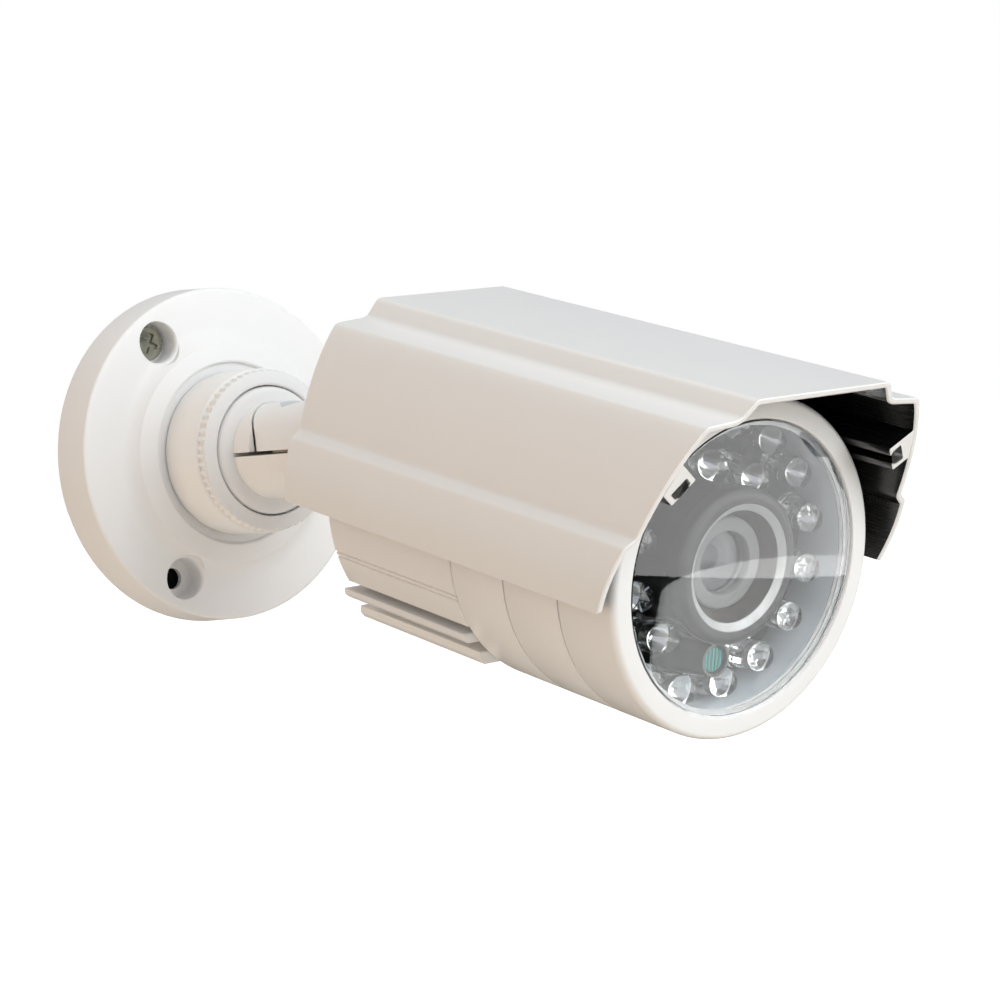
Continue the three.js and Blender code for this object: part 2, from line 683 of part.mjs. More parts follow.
function barrelMiddle() {
  const [front, end] = [middleFront + SEAM / 2, barrelRearFront - SEAM / 2];
  const spigotFront = middleFront - SPIGOT_LENGTH;
  const shoulder = LED_BOARD_FRONT + BOARD_THICKNESS + GAP;
  const grooveFront = spigotFront + 4.2;
  const groove = spigotRadius - 2 * O_RING;
  return turned([
    [spigotRadius, spigotFront],
    [spigotRadius, grooveFront],
    [groove, grooveFront],
    [groove, grooveFront + 2 * O_RING + 0.4],
    [spigotRadius, grooveFront + 2 * O_RING + 0.4],
    [spigotRadius, front],
    [BARREL_RADIUS - 0.15, front],
    [BARREL_RADIUS, front + 0.15],
    [BARREL_RADIUS, end - 0.15],
    [BARREL_RADIUS - 0.15, end],
    [spigotRadius + GAP, end],
    [spigotRadius + GAP, end - SPIGOT_LENGTH + 1],
    [boardShoulder, end - SPIGOT_LENGTH + 1],
    [boardShoulder, shoulder],
    [CUP_RADIUS + GAP, shoulder],
    [CUP_RADIUS + GAP, spigotFront],
  ]);
}

// An O-ring seated on a spigot, its section a hexagon.
function oRing(y) {
  const middle = spigotRadius + 0.15 - O_RING;
  return turned(arc(O_RING, 30, 330, 5).map(([r, along]) => [middle + r, y + along]), MEDIUM_ROUND);
}

function barrelRear() {
  const [front, end] = [barrelRearFront + SEAM / 2, rearBodyFront - SEAM / 2];
  const spigotFront = barrelRearFront - SPIGOT_LENGTH + 1.6;
  const bore = spigotRadius - SPIGOT_WALL;
  return turned([
    [spigotRadius, spigotFront],
    [spigotRadius, front],
    [BARREL_RADIUS - 0.15, front],
    [BARREL_RADIUS, front + 0.15],
    [BARREL_RADIUS, end - 0.15],
    [BARREL_RADIUS - 0.15, end],
    [rearSpigotRadius, end],
    [rearSpigotRadius, end + REAR_SPIGOT_LENGTH],
    [rearSpigotRadius - REAR_SPIGOT_WALL, end + REAR_SPIGOT_LENGTH],
    [rearSpigotRadius - REAR_SPIGOT_WALL, end - 2.6],
    [bore, end - 2.6],
    [bore, spigotFront],
  ]);
}

function rearBodyOutline() {
  const slotAngle = THREE.MathUtils.radToDeg(Math.asin(SLOT_1_TOP / BARREL_RADIUS));
  const fins = [
    [SLOT_1_ROOT, SLOT_1_TOP],
    [SLOT_1_ROOT, FIN_1_TOP],
    [FIN_1_TIP, FIN_1_TOP],
    [FIN_1_TIP, FIN_1_BOTTOM + 0.8],
    [FIN_1_TIP - FIN_CHAMFER, FIN_1_BOTTOM],
    [SLOT_2_ROOT, FIN_1_BOTTOM],
    [SLOT_2_ROOT, FIN_2_TOP],
    [FIN_2_TIP, FIN_2_TOP],
    [FIN_2_TIP, BODY_BOTTOM + FIN_CHAMFER],
    [FIN_2_TIP - FIN_CHAMFER, BODY_BOTTOM],
  ];
  return [...arc(BARREL_RADIUS, 180 - slotAngle, slotAngle, 44), ...fins, ...mirrored(fins)];
}

// Outline points in a rail's own axes: across the rail and outwards from the housing's axis.
function railFrame(points, side) {
  const angle = THREE.MathUtils.degToRad(RAIL_ANGLE);
  return points.map(([across, outwards]) => [
    side * (outwards * Math.cos(angle) - across * Math.sin(angle)),
    outwards * Math.sin(angle) + across * Math.cos(angle),
  ]);
}

function rail(side, y0, y1) {
  const neckTop = BARREL_RADIUS + RAIL_NECK_HEIGHT;
  const half = [
    [RAIL_NECK, BARREL_RADIUS - 1],
    [RAIL_NECK, neckTop],
    [RAIL_HEAD, neckTop],
    [RAIL_HEAD, neckTop + RAIL_HEAD_HEIGHT],
  ];
  return drawn(railFrame([...half, ...mirrored(half)], side), y0, y1);
}

function rearBody() {
  const [front, end] = [rearBodyFront + SEAM / 2, rearBodyEnd];
  let body = join(drawn(rearBodyOutline(), front, end), rail(-1, front, end), rail(1, front, end));
  body = cut(
    body,
    bar(rearBore, front - 1, end + 1, MEDIUM_ROUND),
    bar(rearSpigotRadius + GAP, front - 1, front + REAR_SPIGOT_LENGTH + GAP, MEDIUM_ROUND),
  );
  for (const side of [-1, 1]) {
    for (const z of GROOVE_HEIGHTS) {
      const x = side * Math.sqrt(BARREL_RADIUS ** 2 - z ** 2);
      const groove = [
        [x + side * 0.4, z + GROOVE_HALF],
        [x - side * GROOVE_DEPTH, z],
        [x + side * 0.4, z - GROOVE_HALF],
      ];
      body = cut(body, drawn(groove, front - 1, end + 1));
    }
    const notchSides = [side * (BARREL_RADIUS - INDEX_NOTCH_DEPTH), side * (BARREL_RADIUS + 1)];
    const notch = [Math.min(...notchSides), Math.max(...notchSides)];
    body = cut(body, block(notch, [front - 1, front + INDEX_NOTCH_LENGTH], INDEX_NOTCH));
  }
  for (const angle of CAP_SCREW_ANGLES) {
    const [x, z] = polar(CAP_SCREW_CIRCLE, angle);
    body = cut(body, bar(CAP_SCREW_SHANK + GAP, end - CAP_SCREW_LENGTH, end + 1, TINY_ROUND, x, z));
  }
  return body;
}

function rearGasket() {
  const y = rearBodyEnd + GAP / 2;
  let ring = tube(CAP_RADIUS, rearBore + 1, y, y + GASKET_THICKNESS, MEDIUM_ROUND);
  for (const angle of CAP_SCREW_ANGLES) {
    const [x, z] = polar(CAP_SCREW_CIRCLE, angle);
    ring = cut(ring, bar(CAP_SCREW_SHANK + GAP, y - 1, y + 2, TINY_ROUND, x, z));
  }
  return ring;
}

function rearCap() {
  let cap = turned([
    [0, capFront + CAP_RECESS_DEPTH],
    [CAP_RECESS_RADIUS, capFront + CAP_RECESS_DEPTH],
    [CAP_RECESS_RADIUS, capFront],
    [CAP_RADIUS, capFront],
    [CAP_RADIUS, capEnd - CAP_CHAMFER],
    [CAP_RADIUS - CAP_CHAMFER, capEnd],
    [bossRadius, capEnd],
    [bossRadius, bossEnd - 0.4],
    [bossRadius - 0.4, bossEnd],
    [0, bossEnd],
  ], MEDIUM_ROUND);
  cap = cut(
    cap,
    bar(STUD_RADIUS + GAP, bossEnd - STUD_IN_CAP - GAP, bossEnd + 1),
    bar(GLAND_BORE, capFront - 1, capEnd + 1, SMALL_ROUND, 0, -glandOffset),
  );
  for (const angle of CAP_SCREW_ANGLES) {
    const [x, z] = polar(CAP_SCREW_CIRCLE, angle);
    cap = cut(
      cap,
      bar(CAP_SCREW_SHANK + GAP, capFront - 1, capEnd + 1, TINY_ROUND, x, z),
      bar(CAP_SCREW_HEAD + GAP, capEnd - CAP_SCREW_DEPTH, capEnd + 1, SMALL_ROUND, x, z),
    );
  }
  return cap;
}

function rearCapScrew(angle) {
  const [x, z] = polar(CAP_SCREW_CIRCLE, angle);
  const headBack = capEnd - CAP_SCREW_DEPTH + GAP;
  const headFront = capEnd - 0.2;
  return cut(
    join(
      bar(CAP_SCREW_HEAD, headBack, headFront, TINY_ROUND, x, z),
      bar(CAP_SCREW_SHANK, rearBodyEnd - CAP_SCREW_LENGTH + GAP + 0.5, headBack + 0.5, TINY_ROUND, x, z),
    ),
    crossRecess(x, z, headFront, CAP_SCREW_HEAD, 1.1, 1),
  );
}

function cableGland() {
  const front = capEnd + GAP;
  const geometry = turned([
    [GLAND_RADIUS, front],
    [GLAND_RADIUS, front + 3],
    [GLAND_RADIUS - 0.6, front + 3.4],
    [GLAND_RADIUS - 0.6, front + GLAND_LENGTH - 1.6],
    [GLAND_RADIUS - 1.3, front + GLAND_LENGTH],
    [GLAND_BORE + 0.6, front + GLAND_LENGTH],
    [GLAND_BORE + 0.6, front],
  ], SMALL_ROUND);
  return geometry.translate([0, 0, -glandOffset]);
}

// The gland's rubber bush. Its cable is not part of the model, so a blind pilot hole marks its path.
function glandSeal() {
  const front = capEnd + GAP;
  return turned([
    [0, front + 1],
    [GLAND_BORE + GAP, front + 1],
    [GLAND_BORE + GAP, front + GLAND_LENGTH + 0.6],
    [1.5, front + GLAND_LENGTH + 0.6],
    [1.5, front + 4],
    [0, front + 4],
  ], SMALL_ROUND).translate([0, 0, -glandOffset]);
}

// ---------------------------------------------------------------- behind the window

function reflectorCup() {
  const front = ledgeFront + WINDOW_LEDGE + GAP;
  return tube(CUP_RADIUS, CUP_RADIUS - CUP_WALL, front, LED_BOARD_FRONT - GAP);
}

function ledPlaces() {
  const outer = Array.from({ length: LED_OUTER_COUNT }, (_, i) => (
    polar(LED_OUTER_CIRCLE, ((i + 0.5) * 360) / LED_OUTER_COUNT)
  ));
  const inner = [];
  for (let angle = 18; angle < 360; angle += LED_INNER_STEP) {
    if (!LED_INNER_SKIPPED.includes(angle)) inner.push(polar(LED_INNER_CIRCLE, angle));
  }
  return [...outer, ...inner];
}

// The light board with its soldered diodes, each a short cylinder with a domed end.
function ledBoard() {
  const tip = LED_BOARD_FRONT - LED_HEIGHT;
  const dome = [0, 1, 2].map((i) => {
    const angle = (i / 2) * (Math.PI / 2);
    return [LED_RADIUS * Math.sin(angle), tip + LED_RADIUS * (1 - Math.cos(angle))];
  });
  const foot = LED_BOARD_FRONT + 0.5;
  const diode = turned([...dome, [LED_RADIUS, foot], [0, foot]], TINY_ROUND);
  const board = tube(LED_BOARD_RADIUS, LED_BOARD_HOLE, LED_BOARD_FRONT, LED_BOARD_FRONT + BOARD_THICKNESS);
  return join(board, ...ledPlaces().map(([x, z]) => diode.translate([x, 0, z])));
}

function photocellSleeve() {
  return turned([
    [PHOTOCELL_SLEEVE, PHOTOCELL_FRONT],
    [PHOTOCELL_SLEEVE, LED_BOARD_FRONT - GAP],
    [PHOTOCELL_RADIUS + 0.1, LED_BOARD_FRONT - GAP],
    [PHOTOCELL_RADIUS + 0.1, PHOTOCELL_FRONT],
  ], SMALL_ROUND).translate([0, 0, -PHOTOCELL_CIRCLE]);
}

function photocell() {
  return bar(PHOTOCELL_RADIUS, PHOTOCELL_FRONT + 0.8, PHOTOCELL_FRONT + 3, SMALL_ROUND, 0, -PHOTOCELL_CIRCLE);
}

function lensHood() {
  const flangeEnd = hoodFront + HOOD_FLANGE;
  const bore = LENS_RADIUS + GAP;
  return turned([
    [HOOD_MOUTH, hoodFront],
    [HOOD_RADIUS - 0.4, hoodFront],
    [HOOD_RADIUS, hoodFront + 0.4],
    [HOOD_RADIUS, flangeEnd],
    [HOOD_NECK_RADIUS, flangeEnd + 0.6],
    [HOOD_NECK_RADIUS, LED_BOARD_FRONT - GAP],
    [LENS_RADIUS + 1.2, LED_BOARD_FRONT - GAP],
    [bore, LED_BOARD_FRONT - 1.5],
    [bore, LENS_FRONT],
  ], MEDIUM_ROUND);
}

function lensBarrel() {
  const headEnd = LENS_FRONT + LENS_HEAD_LENGTH;
  const end = LENS_FRONT + LENS_LENGTH;
  return turned([
    [LENS_GLASS_RADIUS + 0.1, LENS_FRONT + 0.4],
    [LENS_GLASS_RADIUS + 0.5, LENS_FRONT],
    [LENS_RADIUS - 0.3, LENS_FRONT],
    [LENS_RADIUS, LENS_FRONT + 0.3],
    [LENS_RADIUS, headEnd],
    [LENS_THREAD_RADIUS, headEnd],
    [LENS_THREAD_RADIUS, end],
    [3.2, end],
    [3.2, LENS_FRONT + 5],
    [LENS_GLASS_RADIUS + 0.1, LENS_FRONT + 3.4],
  ], MEDIUM_ROUND);
}

function lensElement() {
  const rise = 0.9;
  const crown = [0, 1, 2, 3].map((i) => [
    (LENS_GLASS_RADIUS * i) / 3,
    LENS_FRONT + 0.5 + rise * (i / 3) ** 2,
  ]);
  return turned([...crown, [LENS_GLASS_RADIUS, LENS_FRONT + 3.1], [0, LENS_FRONT + 3.1]], MEDIUM_ROUND);
}

function lensHolder() {
  const end = SENSOR_BOARD_FRONT - GAP;
  const cavity = SENSOR_BOARD_FRONT - 4;
  return cut(
    join(
      bar(HOLDER_RADIUS, HOLDER_FRONT, end, MEDIUM_ROUND),
      block([-HOLDER_HALF, HOLDER_HALF], [end - HOLDER_FLANGE, end], [-HOLDER_HALF, HOLDER_HALF]),
    ),
    bar(LENS_THREAD_RADIUS + GAP, HOLDER_FRONT - 1, cavity - 0.8, MEDIUM_ROUND),
    bar(4.2, HOLDER_FRONT, cavity + 1, MEDIUM_ROUND),
    block([-6, 6], [cavity, end + 1], [-6, 6]),
  );
}

function square(half, y0, y1) {
  return block([-half, half], [y0, y1], [-half, half]);
}

function irFilter() {
  const front = SENSOR_BOARD_FRONT - 4 + GAP / 2;
  return square(FILTER_HALF, front, front + FILTER_THICKNESS);
}

function imageSensor() {
  const back = SENSOR_BOARD_FRONT - 0.1;
  return square(CHIP_HALF, back - CHIP_THICKNESS, back);
}

function cornerPlaces() {
  return [[-1, 1], [1, 1], [1, -1], [-1, -1]].map(([i, j]) => [i * STANDOFF_PLACE, j * STANDOFF_PLACE]);
}

function boardWithParts(front, parts) {
  return join(square(BOARD_HALF, front, front + BOARD_THICKNESS), ...parts);
}

function sensorBoard() {
  const back = SENSOR_BOARD_FRONT + BOARD_THICKNESS;
  return boardWithParts(SENSOR_BOARD_FRONT, [
    block([-8, 8], [back - 0.5, back + 1.4], [-8, 8]),
    block([-6, 6], [back - 0.5, back + 3], [11, 15]),
  ]);
}

function mainBoard() {
  const back = MAIN_BOARD_FRONT + BOARD_THICKNESS;
  return boardWithParts(MAIN_BOARD_FRONT, [
    block([-9, 3], [back - 0.5, back + 1.8], [-4, 8]),
    bar(3, back - 0.5, back + 9, SMALL_ROUND, 8, -8),
    block([-12, -2], [back - 0.5, back + 5], [-14, -9]),
  ]);
}

function standoff([x, z], y0, y1) {
  return bar(STANDOFF_RADIUS, y0 + 0.1, y1 - 0.1, 6, x, z);
}

// ---------------------------------------------------------------- sunshield

// Points at a distance to the right of a line of points, with mitred corners.
function offsetLine(points, distance) {
  const vectors = points.map(([x, z]) => new THREE.Vector2(x, z));
  return vectors.map((point, i) => {
    const before = vectors[Math.max(i - 1, 0)];
    const after = vectors[Math.min(i + 1, vectors.length - 1)];
    const along = [
      (i > 0 ? point.clone().sub(before) : after.clone().sub(point)).normalize(),
      (i < vectors.length - 1 ? after.clone().sub(point) : point.clone().sub(before)).normalize(),
    ];
    const normals = along.map((v) => new THREE.Vector2(v.y, -v.x));
    const middle = normals[0].clone().add(normals[1]).normalize();
    const reach = distance / middle.dot(normals[0]);
    return [point.x + middle.x * reach, point.y + middle.y * reach];
  });
}

function shieldHalfOutline() {
  const onBarrel = ([x, z]) => [BARREL_RADIUS + x, BARREL_RADIUS + z];
  const vectors = (points) => points.map((point) => new THREE.Vector2(...onBarrel(point)));
  const [topHalf, top] = onBarrel([SHIELD_TOP_HALF, SHIELD_TOP]);
  const [stepX, stepZ] = onBarrel(SHIELD_STEP);
  const [ledgeX, ledgeZ] = onBarrel(SHIELD_LEDGE);
  const side = new THREE.CubicBezierCurve(...vectors(SHIELD_SIDE)).getPoints(7);
  const lip = new THREE.QuadraticBezierCurve(...vectors(SHIELD_LIP)).getPoints(6);
  return [
    [topHalf - 0.9, top],
    [topHalf + 0.1, top - 0.45],
    [stepX - 0.6, stepZ + 0.35],
    [stepX + 0.4, stepZ - 0.02],
    [ledgeX - 0.5, ledgeZ],
    ...side.map((p) => [p.x, p.y]),
    ...lip.map((p) => [p.x, p.y]),
  ];
}

function claw(side, y0, y1) {
  const [inner, outer] = [BARREL_RADIUS + CLAW_CLEARANCE, BARREL_RADIUS + 10];
  const outline = [[-CLAW_HALF, inner], [CLAW_HALF, inner], [CLAW_HALF, outer], [-CLAW_HALF, outer]];
  return drawn(railFrame(outline, side), y0, y1);
}

function clawChannel(side, y0, y1) {
  const inner = BARREL_RADIUS + CLAW_CLEARANCE;
  const headTop = BARREL_RADIUS + RAIL_NECK_HEIGHT + RAIL_HEAD_HEIGHT + GAP;
  const half = [
    [RAIL_NECK + GAP, inner - 1],
    [RAIL_NECK + GAP, inner + CLAW_LIP],
    [RAIL_HEAD + GAP, inner + CLAW_LIP],
    [RAIL_HEAD + GAP, headTop],
  ];
  return drawn(railFrame([...half, ...mirrored(half)], side), y0, y1);
}

// A radial bar through one claw, for the screw that holds the shield's setting.
function shieldScrewBar(radius, from, to, facets) {
  const angle = THREE.MathUtils.degToRad(SHIELD_SCREW_SIDE > 0 ? RAIL_ANGLE : 180 - RAIL_ANGLE);
  const geometry = new THREE.CylinderGeometry(radius, radius, to - from, facets);
  geometry.translate(0, (from + to) / 2, 0);
  geometry.rotateZ(angle - Math.PI / 2);
  geometry.rotateX(Math.PI / 2);
  geometry.translate(0, shieldScrewPlace, 0);
  return solid(geometry);
}

function shieldLockScrew() {
  const tip = BARREL_RADIUS + RAIL_NECK_HEIGHT + RAIL_HEAD_HEIGHT + GAP;
  return cut(
    shieldScrewBar(SHIELD_SCREW_RADIUS, tip, tip + 3.8, TINY_ROUND),
    shieldScrewBar(0.9, tip + 2.4, tip + 5, 6),
  );
}

function sunshield() {
  const outer = shieldHalfOutline();
  const inner = offsetLine(outer, SHIELD_WALL);
  const half = [...inner.slice().reverse(), ...mirrored(inner.slice().reverse())];
  const [y0, y1] = [-30, 110];
  const hull = drawn([...outer, ...mirrored(outer)], y0, y1);
  const shell = drawn([...outer, ...half, ...mirrored(outer)], y0, y1);
  let body = join(shell, claw(-1, y0, y1), claw(1, y0, y1));
  body = cut(
    body.intersect(hull),
    clawChannel(-1, y0 - 1, y1 + 1),
    clawChannel(1, y0 - 1, y1 + 1),
    shieldScrewBar(SHIELD_SCREW_RADIUS + GAP, BARREL_RADIUS + 2, BARREL_RADIUS + 10, SMALL_ROUND),
  );
  const [low, high] = [-20, 50];
  return body.intersect(slab([
    [SHIELD_FRONT - SHIELD_FRONT_RAKE * low, low],
    [shieldRear - SHIELD_REAR_RAKE * low, low],
    [shieldRear - SHIELD_REAR_RAKE * high, high],
    [SHIELD_FRONT - SHIELD_FRONT_RAKE * high, high],
  ], 50));
}

// ---------------------------------------------------------------- assembly

const camera = new THREE.Group();
const bracket = new THREE.Group();
const housing = new THREE.Group();
camera.add(bracket, housing);

const tilt = THREE.MathUtils.degToRad(TILT);
housing.rotation.x = tilt;
housing.position.set(0, tiltY - pinPlace * Math.cos(tilt), -pinPlace * Math.sin(tilt));

place(bracket, 'wall_base', wallBase(), whitePaint);
place(bracket, 'wall_gasket', wallGasket(), blackRubber);
place(bracket, 'wall_screw', wallScrew(), zincYellow);
place(bracket, 'lock_collar', lockCollar(), whitePaint);
place(bracket, 'friction_washer', frictionWasher(), nylon);
place(bracket, 'swivel_stem', swivelStem(), whitePaint);
place(bracket, 'pan_washer', atPan(washer(PAN_WASHER)), nylon);
place(bracket, 'pan_link', panLink(), whitePaint);
place(bracket, 'pan_bolt', atPan(jointBolt()), brightSteel);
place(bracket, 'pan_nut', atPan(jointNut()), brightSteel);
place(bracket, 'tilt_bolt', atTilt(jointBolt()), brightSteel);
place(bracket, 'tilt_nut', atTilt(jointNut()), brightSteel);
for (const [side, name] of [[-1, 'left'], [1, 'right']]) {
  const inset = side * (TONGUE_HALF + GAP / 2 + TILT_WASHER / 2);
  place(bracket, `tilt_washer_${name}`, atTilt(washer(TILT_WASHER)).translate([inset, 0, 0]), nylon);
}

place(housing, 'roll_knuckle', rollKnuckle(), whitePaint);
place(housing, 'roll_lock_nut', rollLockNut(), whitePaint);

place(housing, 'front_bezel', frontBezel(), whitePaint);
place(housing, 'window_glass', windowGlass(), clearGlass);
place(housing, 'window_gasket', windowGasket(), blackRubber);
place(housing, 'bezel_o_ring', oRing(middleFront - SPIGOT_LENGTH + 4.2 + O_RING + 0.2), blackRubber);
place(housing, 'barrel_middle', barrelMiddle(), whitePaint);
place(housing, 'barrel_rear', barrelRear(), whitePaint);
place(housing, 'rear_body', rearBody(), whitePaint);
place(housing, 'rear_gasket', rearGasket(), blackRubber);
place(housing, 'rear_cap', rearCap(), whitePaint);
CAP_SCREW_ANGLES.forEach((angle, i) => (
  place(housing, `rear_cap_screw_${i + 1}`, rearCapScrew(angle), brightSteel)
));
place(housing, 'cable_gland', cableGland(), blackPlastic);
place(housing, 'gland_seal', glandSeal(), blackRubber);

place(housing, 'reflector_cup', reflectorCup(), greyPlastic);
place(housing, 'led_board', ledBoard(), greenBoard);
place(housing, 'photocell_sleeve', photocellSleeve(), blackPlastic);
place(housing, 'photocell', photocell(), teal);
place(housing, 'lens_hood', lensHood(), blackRubber);
place(housing, 'lens_barrel', lensBarrel(), blackPlastic);
place(housing, 'lens_element', lensElement(), clearGlass);
place(housing, 'lens_holder', lensHolder(), blackPlastic);
place(housing, 'ir_filter', irFilter(), clearGlass);
place(housing, 'image_sensor', imageSensor(), blackPlastic);
place(housing, 'sensor_board', sensorBoard(), greenBoard);
place(housing, 'main_board', mainBoard(), greenBoard);
cornerPlaces().forEach((corner, i) => {
  const front = LED_BOARD_FRONT + BOARD_THICKNESS;
  place(housing, `board_standoff_${i + 1}`, standoff(corner, front, SENSOR_BOARD_FRONT), brightSteel);
  const back = SENSOR_BOARD_FRONT + BOARD_THICKNESS;
  place(housing, `board_spacer_${i + 1}`, standoff(corner, back, MAIN_BOARD_FRONT), brightSteel);
});

place(housing, 'sunshield', sunshield(), whitePaint);
place(housing, 'shield_lock_screw', shieldLockScrew(), brightSteel);

export default camera;
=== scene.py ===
"""Looks of the wall-mounted security camera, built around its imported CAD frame.

Sizes in this file are millimetres until a mesh is made. Turned pieces are profiles of (radius, y)
about the Y axis. The housing and what it carries are built level, then tipped about the tilt bolt.
"""
import math

import bmesh
import bpy
from mathutils import Matrix, Vector


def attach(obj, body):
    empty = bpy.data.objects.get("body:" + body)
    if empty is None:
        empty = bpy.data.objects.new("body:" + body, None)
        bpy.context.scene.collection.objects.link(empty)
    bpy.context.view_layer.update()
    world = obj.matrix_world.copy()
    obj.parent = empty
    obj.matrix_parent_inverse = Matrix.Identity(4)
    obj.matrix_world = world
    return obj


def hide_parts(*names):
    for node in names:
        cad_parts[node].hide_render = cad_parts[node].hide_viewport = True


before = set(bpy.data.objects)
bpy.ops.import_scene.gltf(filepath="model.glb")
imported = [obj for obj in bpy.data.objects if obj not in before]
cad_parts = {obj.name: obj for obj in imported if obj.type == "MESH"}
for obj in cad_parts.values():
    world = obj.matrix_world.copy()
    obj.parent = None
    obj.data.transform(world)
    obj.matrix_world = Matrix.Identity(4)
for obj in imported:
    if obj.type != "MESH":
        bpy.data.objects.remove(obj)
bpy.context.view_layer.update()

MM = 0.001
TILT_BOLT_Y = -56.8
PIN_PLACE = 107.3  # the tilt bolt behind the front ring's face
HOUSING_TILT = math.radians(14)
LEVEL = Matrix.Identity(4)
TIPPED = (
    Matrix.Translation((0, TILT_BOLT_Y, 0))
    @ Matrix.Rotation(HOUSING_TILT, 4, "X")
    @ Matrix.Translation((0, -PIN_PLACE, 0))
)
FINE = 144  # facets of large turned pieces
MEDIUM = 64
COARSE = 32


# ------------------------------------------------------------------ outlines

def eased(points, radius=0.2, closed=False, steps=3):
    """Points with their corners rounded. A point may carry its own radius as a third number."""
    result = []
    for i, point in enumerate(points):
        here = Vector(point[:2])
        reach = point[2] if len(point) > 2 else radius
        if reach == 0 or (not closed and i in (0, len(points) - 1)):
            result.append(tuple(here))
            continue
        before = Vector(points[i - 1][:2]) - here
        after = Vector(points[(i + 1) % len(points)][:2]) - here
        reach = min(reach, before.length * 0.45, after.length * 0.45)
        start = here + before.normalized() * reach
        end = here + after.normalized() * reach
        for k in range(steps + 1):
            t = k / steps
            result.append(tuple(start * (1 - t) ** 2 + here * 2 * t * (1 - t) + end * t * t))
    return result


def arc(radius, start, end, steps):
    """Points on a circle about the axis, angles in degrees from +X towards +Z."""
    angles = [math.radians(start + (end - start) * i / steps) for i in range(steps + 1)]
    return [(radius * math.cos(a), radius * math.sin(a)) for a in angles]


def hexagon(radius):
    """Six corners, the first on +X."""
    return [(radius * math.cos(k * math.pi / 3), radius * math.sin(k * math.pi / 3)) for k in range(6)]


def quarter(steps, first=0):
    """Angles up to a right angle, in even steps."""
    return [math.radians(90 / steps * k) for k in range(first, steps + 1)]


def mirrored(points):
    return [(-x, z) for x, z in reversed(points)]


def bezier(control, steps):
    """Points on a curve of two or three segments' control points."""
    points = []
    for i in range(steps + 1):
        level = [Vector(p) for p in control]
        while len(level) > 1:
            level = [a.lerp(b, i / steps) for a, b in zip(level, level[1:])]
        points.append(tuple(level[0]))
    return points


def offset(outline, distance, closed=True):
    """The outline moved to its right-hand side by a distance, with mitred corners."""
    result = []
    count = len(outline)
    for i in range(count):
        here = Vector(outline[i])
        before = Vector(outline[i - 1]) if closed or i > 0 else None
        after = Vector(outline[(i + 1) % count]) if closed or i < count - 1 else None
        ways = []
        if before is not None:
            ways.append((here - before).normalized())
        if after is not None:
            ways.append((after - here).normalized())
        sides = [Vector((way.y, -way.x)) for way in ways]
        middle = sum(sides, Vector((0, 0))).normalized()
        result.append(tuple(here + middle * (distance / max(middle.dot(sides[0]), 0.35))))
    return result


def inward(outline, distance):
    """A closed outline shrunk by a distance, whichever way round it runs."""
    area = sum(a[0] * b[1] - b[0] * a[1] for a, b in zip(outline, outline[1:] + outline[:1]))
    return offset(outline, -distance if area > 0 else distance)


# ------------------------------------------------------------------ meshes

def stitch(mesh, rings, closed):
    """Faces between rings of corners. A ring of one corner is a pole."""
    pairs = list(zip(rings, rings[1:]))
    if closed:
        pairs.append((rings[-1], rings[0]))
    for first, second in pairs:
        count = max(len(first), len(second))
        for i in range(count):
            j = (i + 1) % count
            corners = [
                first[i % len(first)], first[j % len(first)],
                second[j % len(second)], second[i % len(second)],
            ]
            face = list(dict.fromkeys(corners))
            if len(face) > 2:
                mesh.faces.new(face)


def turned(profile, facets=FINE, x=0.0, z=0.0, ripple=None):
    """A profile turned about the Y axis. It starts and ends on the axis or closes on itself."""
    mesh = bmesh.new()
    rings = []
    for radius, y in profile:
        if radius < 1e-6:
            rings.append([mesh.verts.new((x, y, z))])
            continue
        ring = []
        for i in range(facets):
            angle = 2 * math.pi * i / facets
            reach = radius + (ripple(y, i) if ripple else 0)
            ring.append(mesh.verts.new((x + reach * math.cos(angle), y, z + reach * math.sin(angle))))
        rings.append(ring)
    stitch(mesh, rings, closed=profile[0][0] > 1e-6)
    bmesh.ops.recalc_face_normals(mesh, faces=mesh.faces)
    return mesh


def drawn(outline, start, end, edge=0.15, lean=(0.0, 0.0), bore=0.0):
    """A closed outline of (x, z) drawn along Y with eased ends. Each end may lean with height."""
    mesh = bmesh.new()
    inset = inward(outline, edge) if edge else outline
    levels = [(inset, start, lean[0]), (outline, start + edge, lean[0])]
    levels += [(outline, end - edge, lean[1]), (inset, end, lean[1])]
    rings = [[mesh.verts.new((x, y + slope * z, z)) for x, z in points] for points, y, slope in levels]
    if not edge:
        for ring in (rings.pop(0), rings.pop(-1)):
            for corner in ring:
                mesh.verts.remove(corner)
    stitch(mesh, rings, closed=False)
    if bore:
        circle = arc(bore, 0, 360, MEDIUM)[:-1]
        inner = [[mesh.verts.new((x, y, z)) for x, z in circle] for y in (start, end)]
        stitch(mesh, inner, closed=False)
        for outer_ring, inner_ring in ((rings[0], inner[0]), (rings[-1], inner[1])):
            edges = [mesh.edges.get((ring[i - 1], ring[i])) for ring in (outer_ring, inner_ring)
                     for i in range(len(ring))]
            bmesh.ops.triangle_fill(mesh, edges=edges, use_beauty=True)
    else:
        mesh.faces.new(rings[0])
        mesh.faces.new(rings[-1])
    bmesh.ops.recalc_face_normals(mesh, faces=mesh.faces)
    return mesh


def rod(radius, start, end, facets=MEDIUM, ease=0.0):
    """A round bar along Y between two places."""
    profile = [(0, start), (radius, start), (radius, end), (0, end)]
    return turned(eased(profile, ease) if ease else profile, facets)


def block(x, y, z):
    """A box between the two ends given for each direction."""
    return drawn([(x[0], z[0]), (x[1], z[0]), (x[1], z[1]), (x[0], z[1])], y[0], y[1], edge=0)


def moved(mesh, matrix):
    bmesh.ops.transform(mesh, matrix=matrix, verts=mesh.verts)
    return mesh


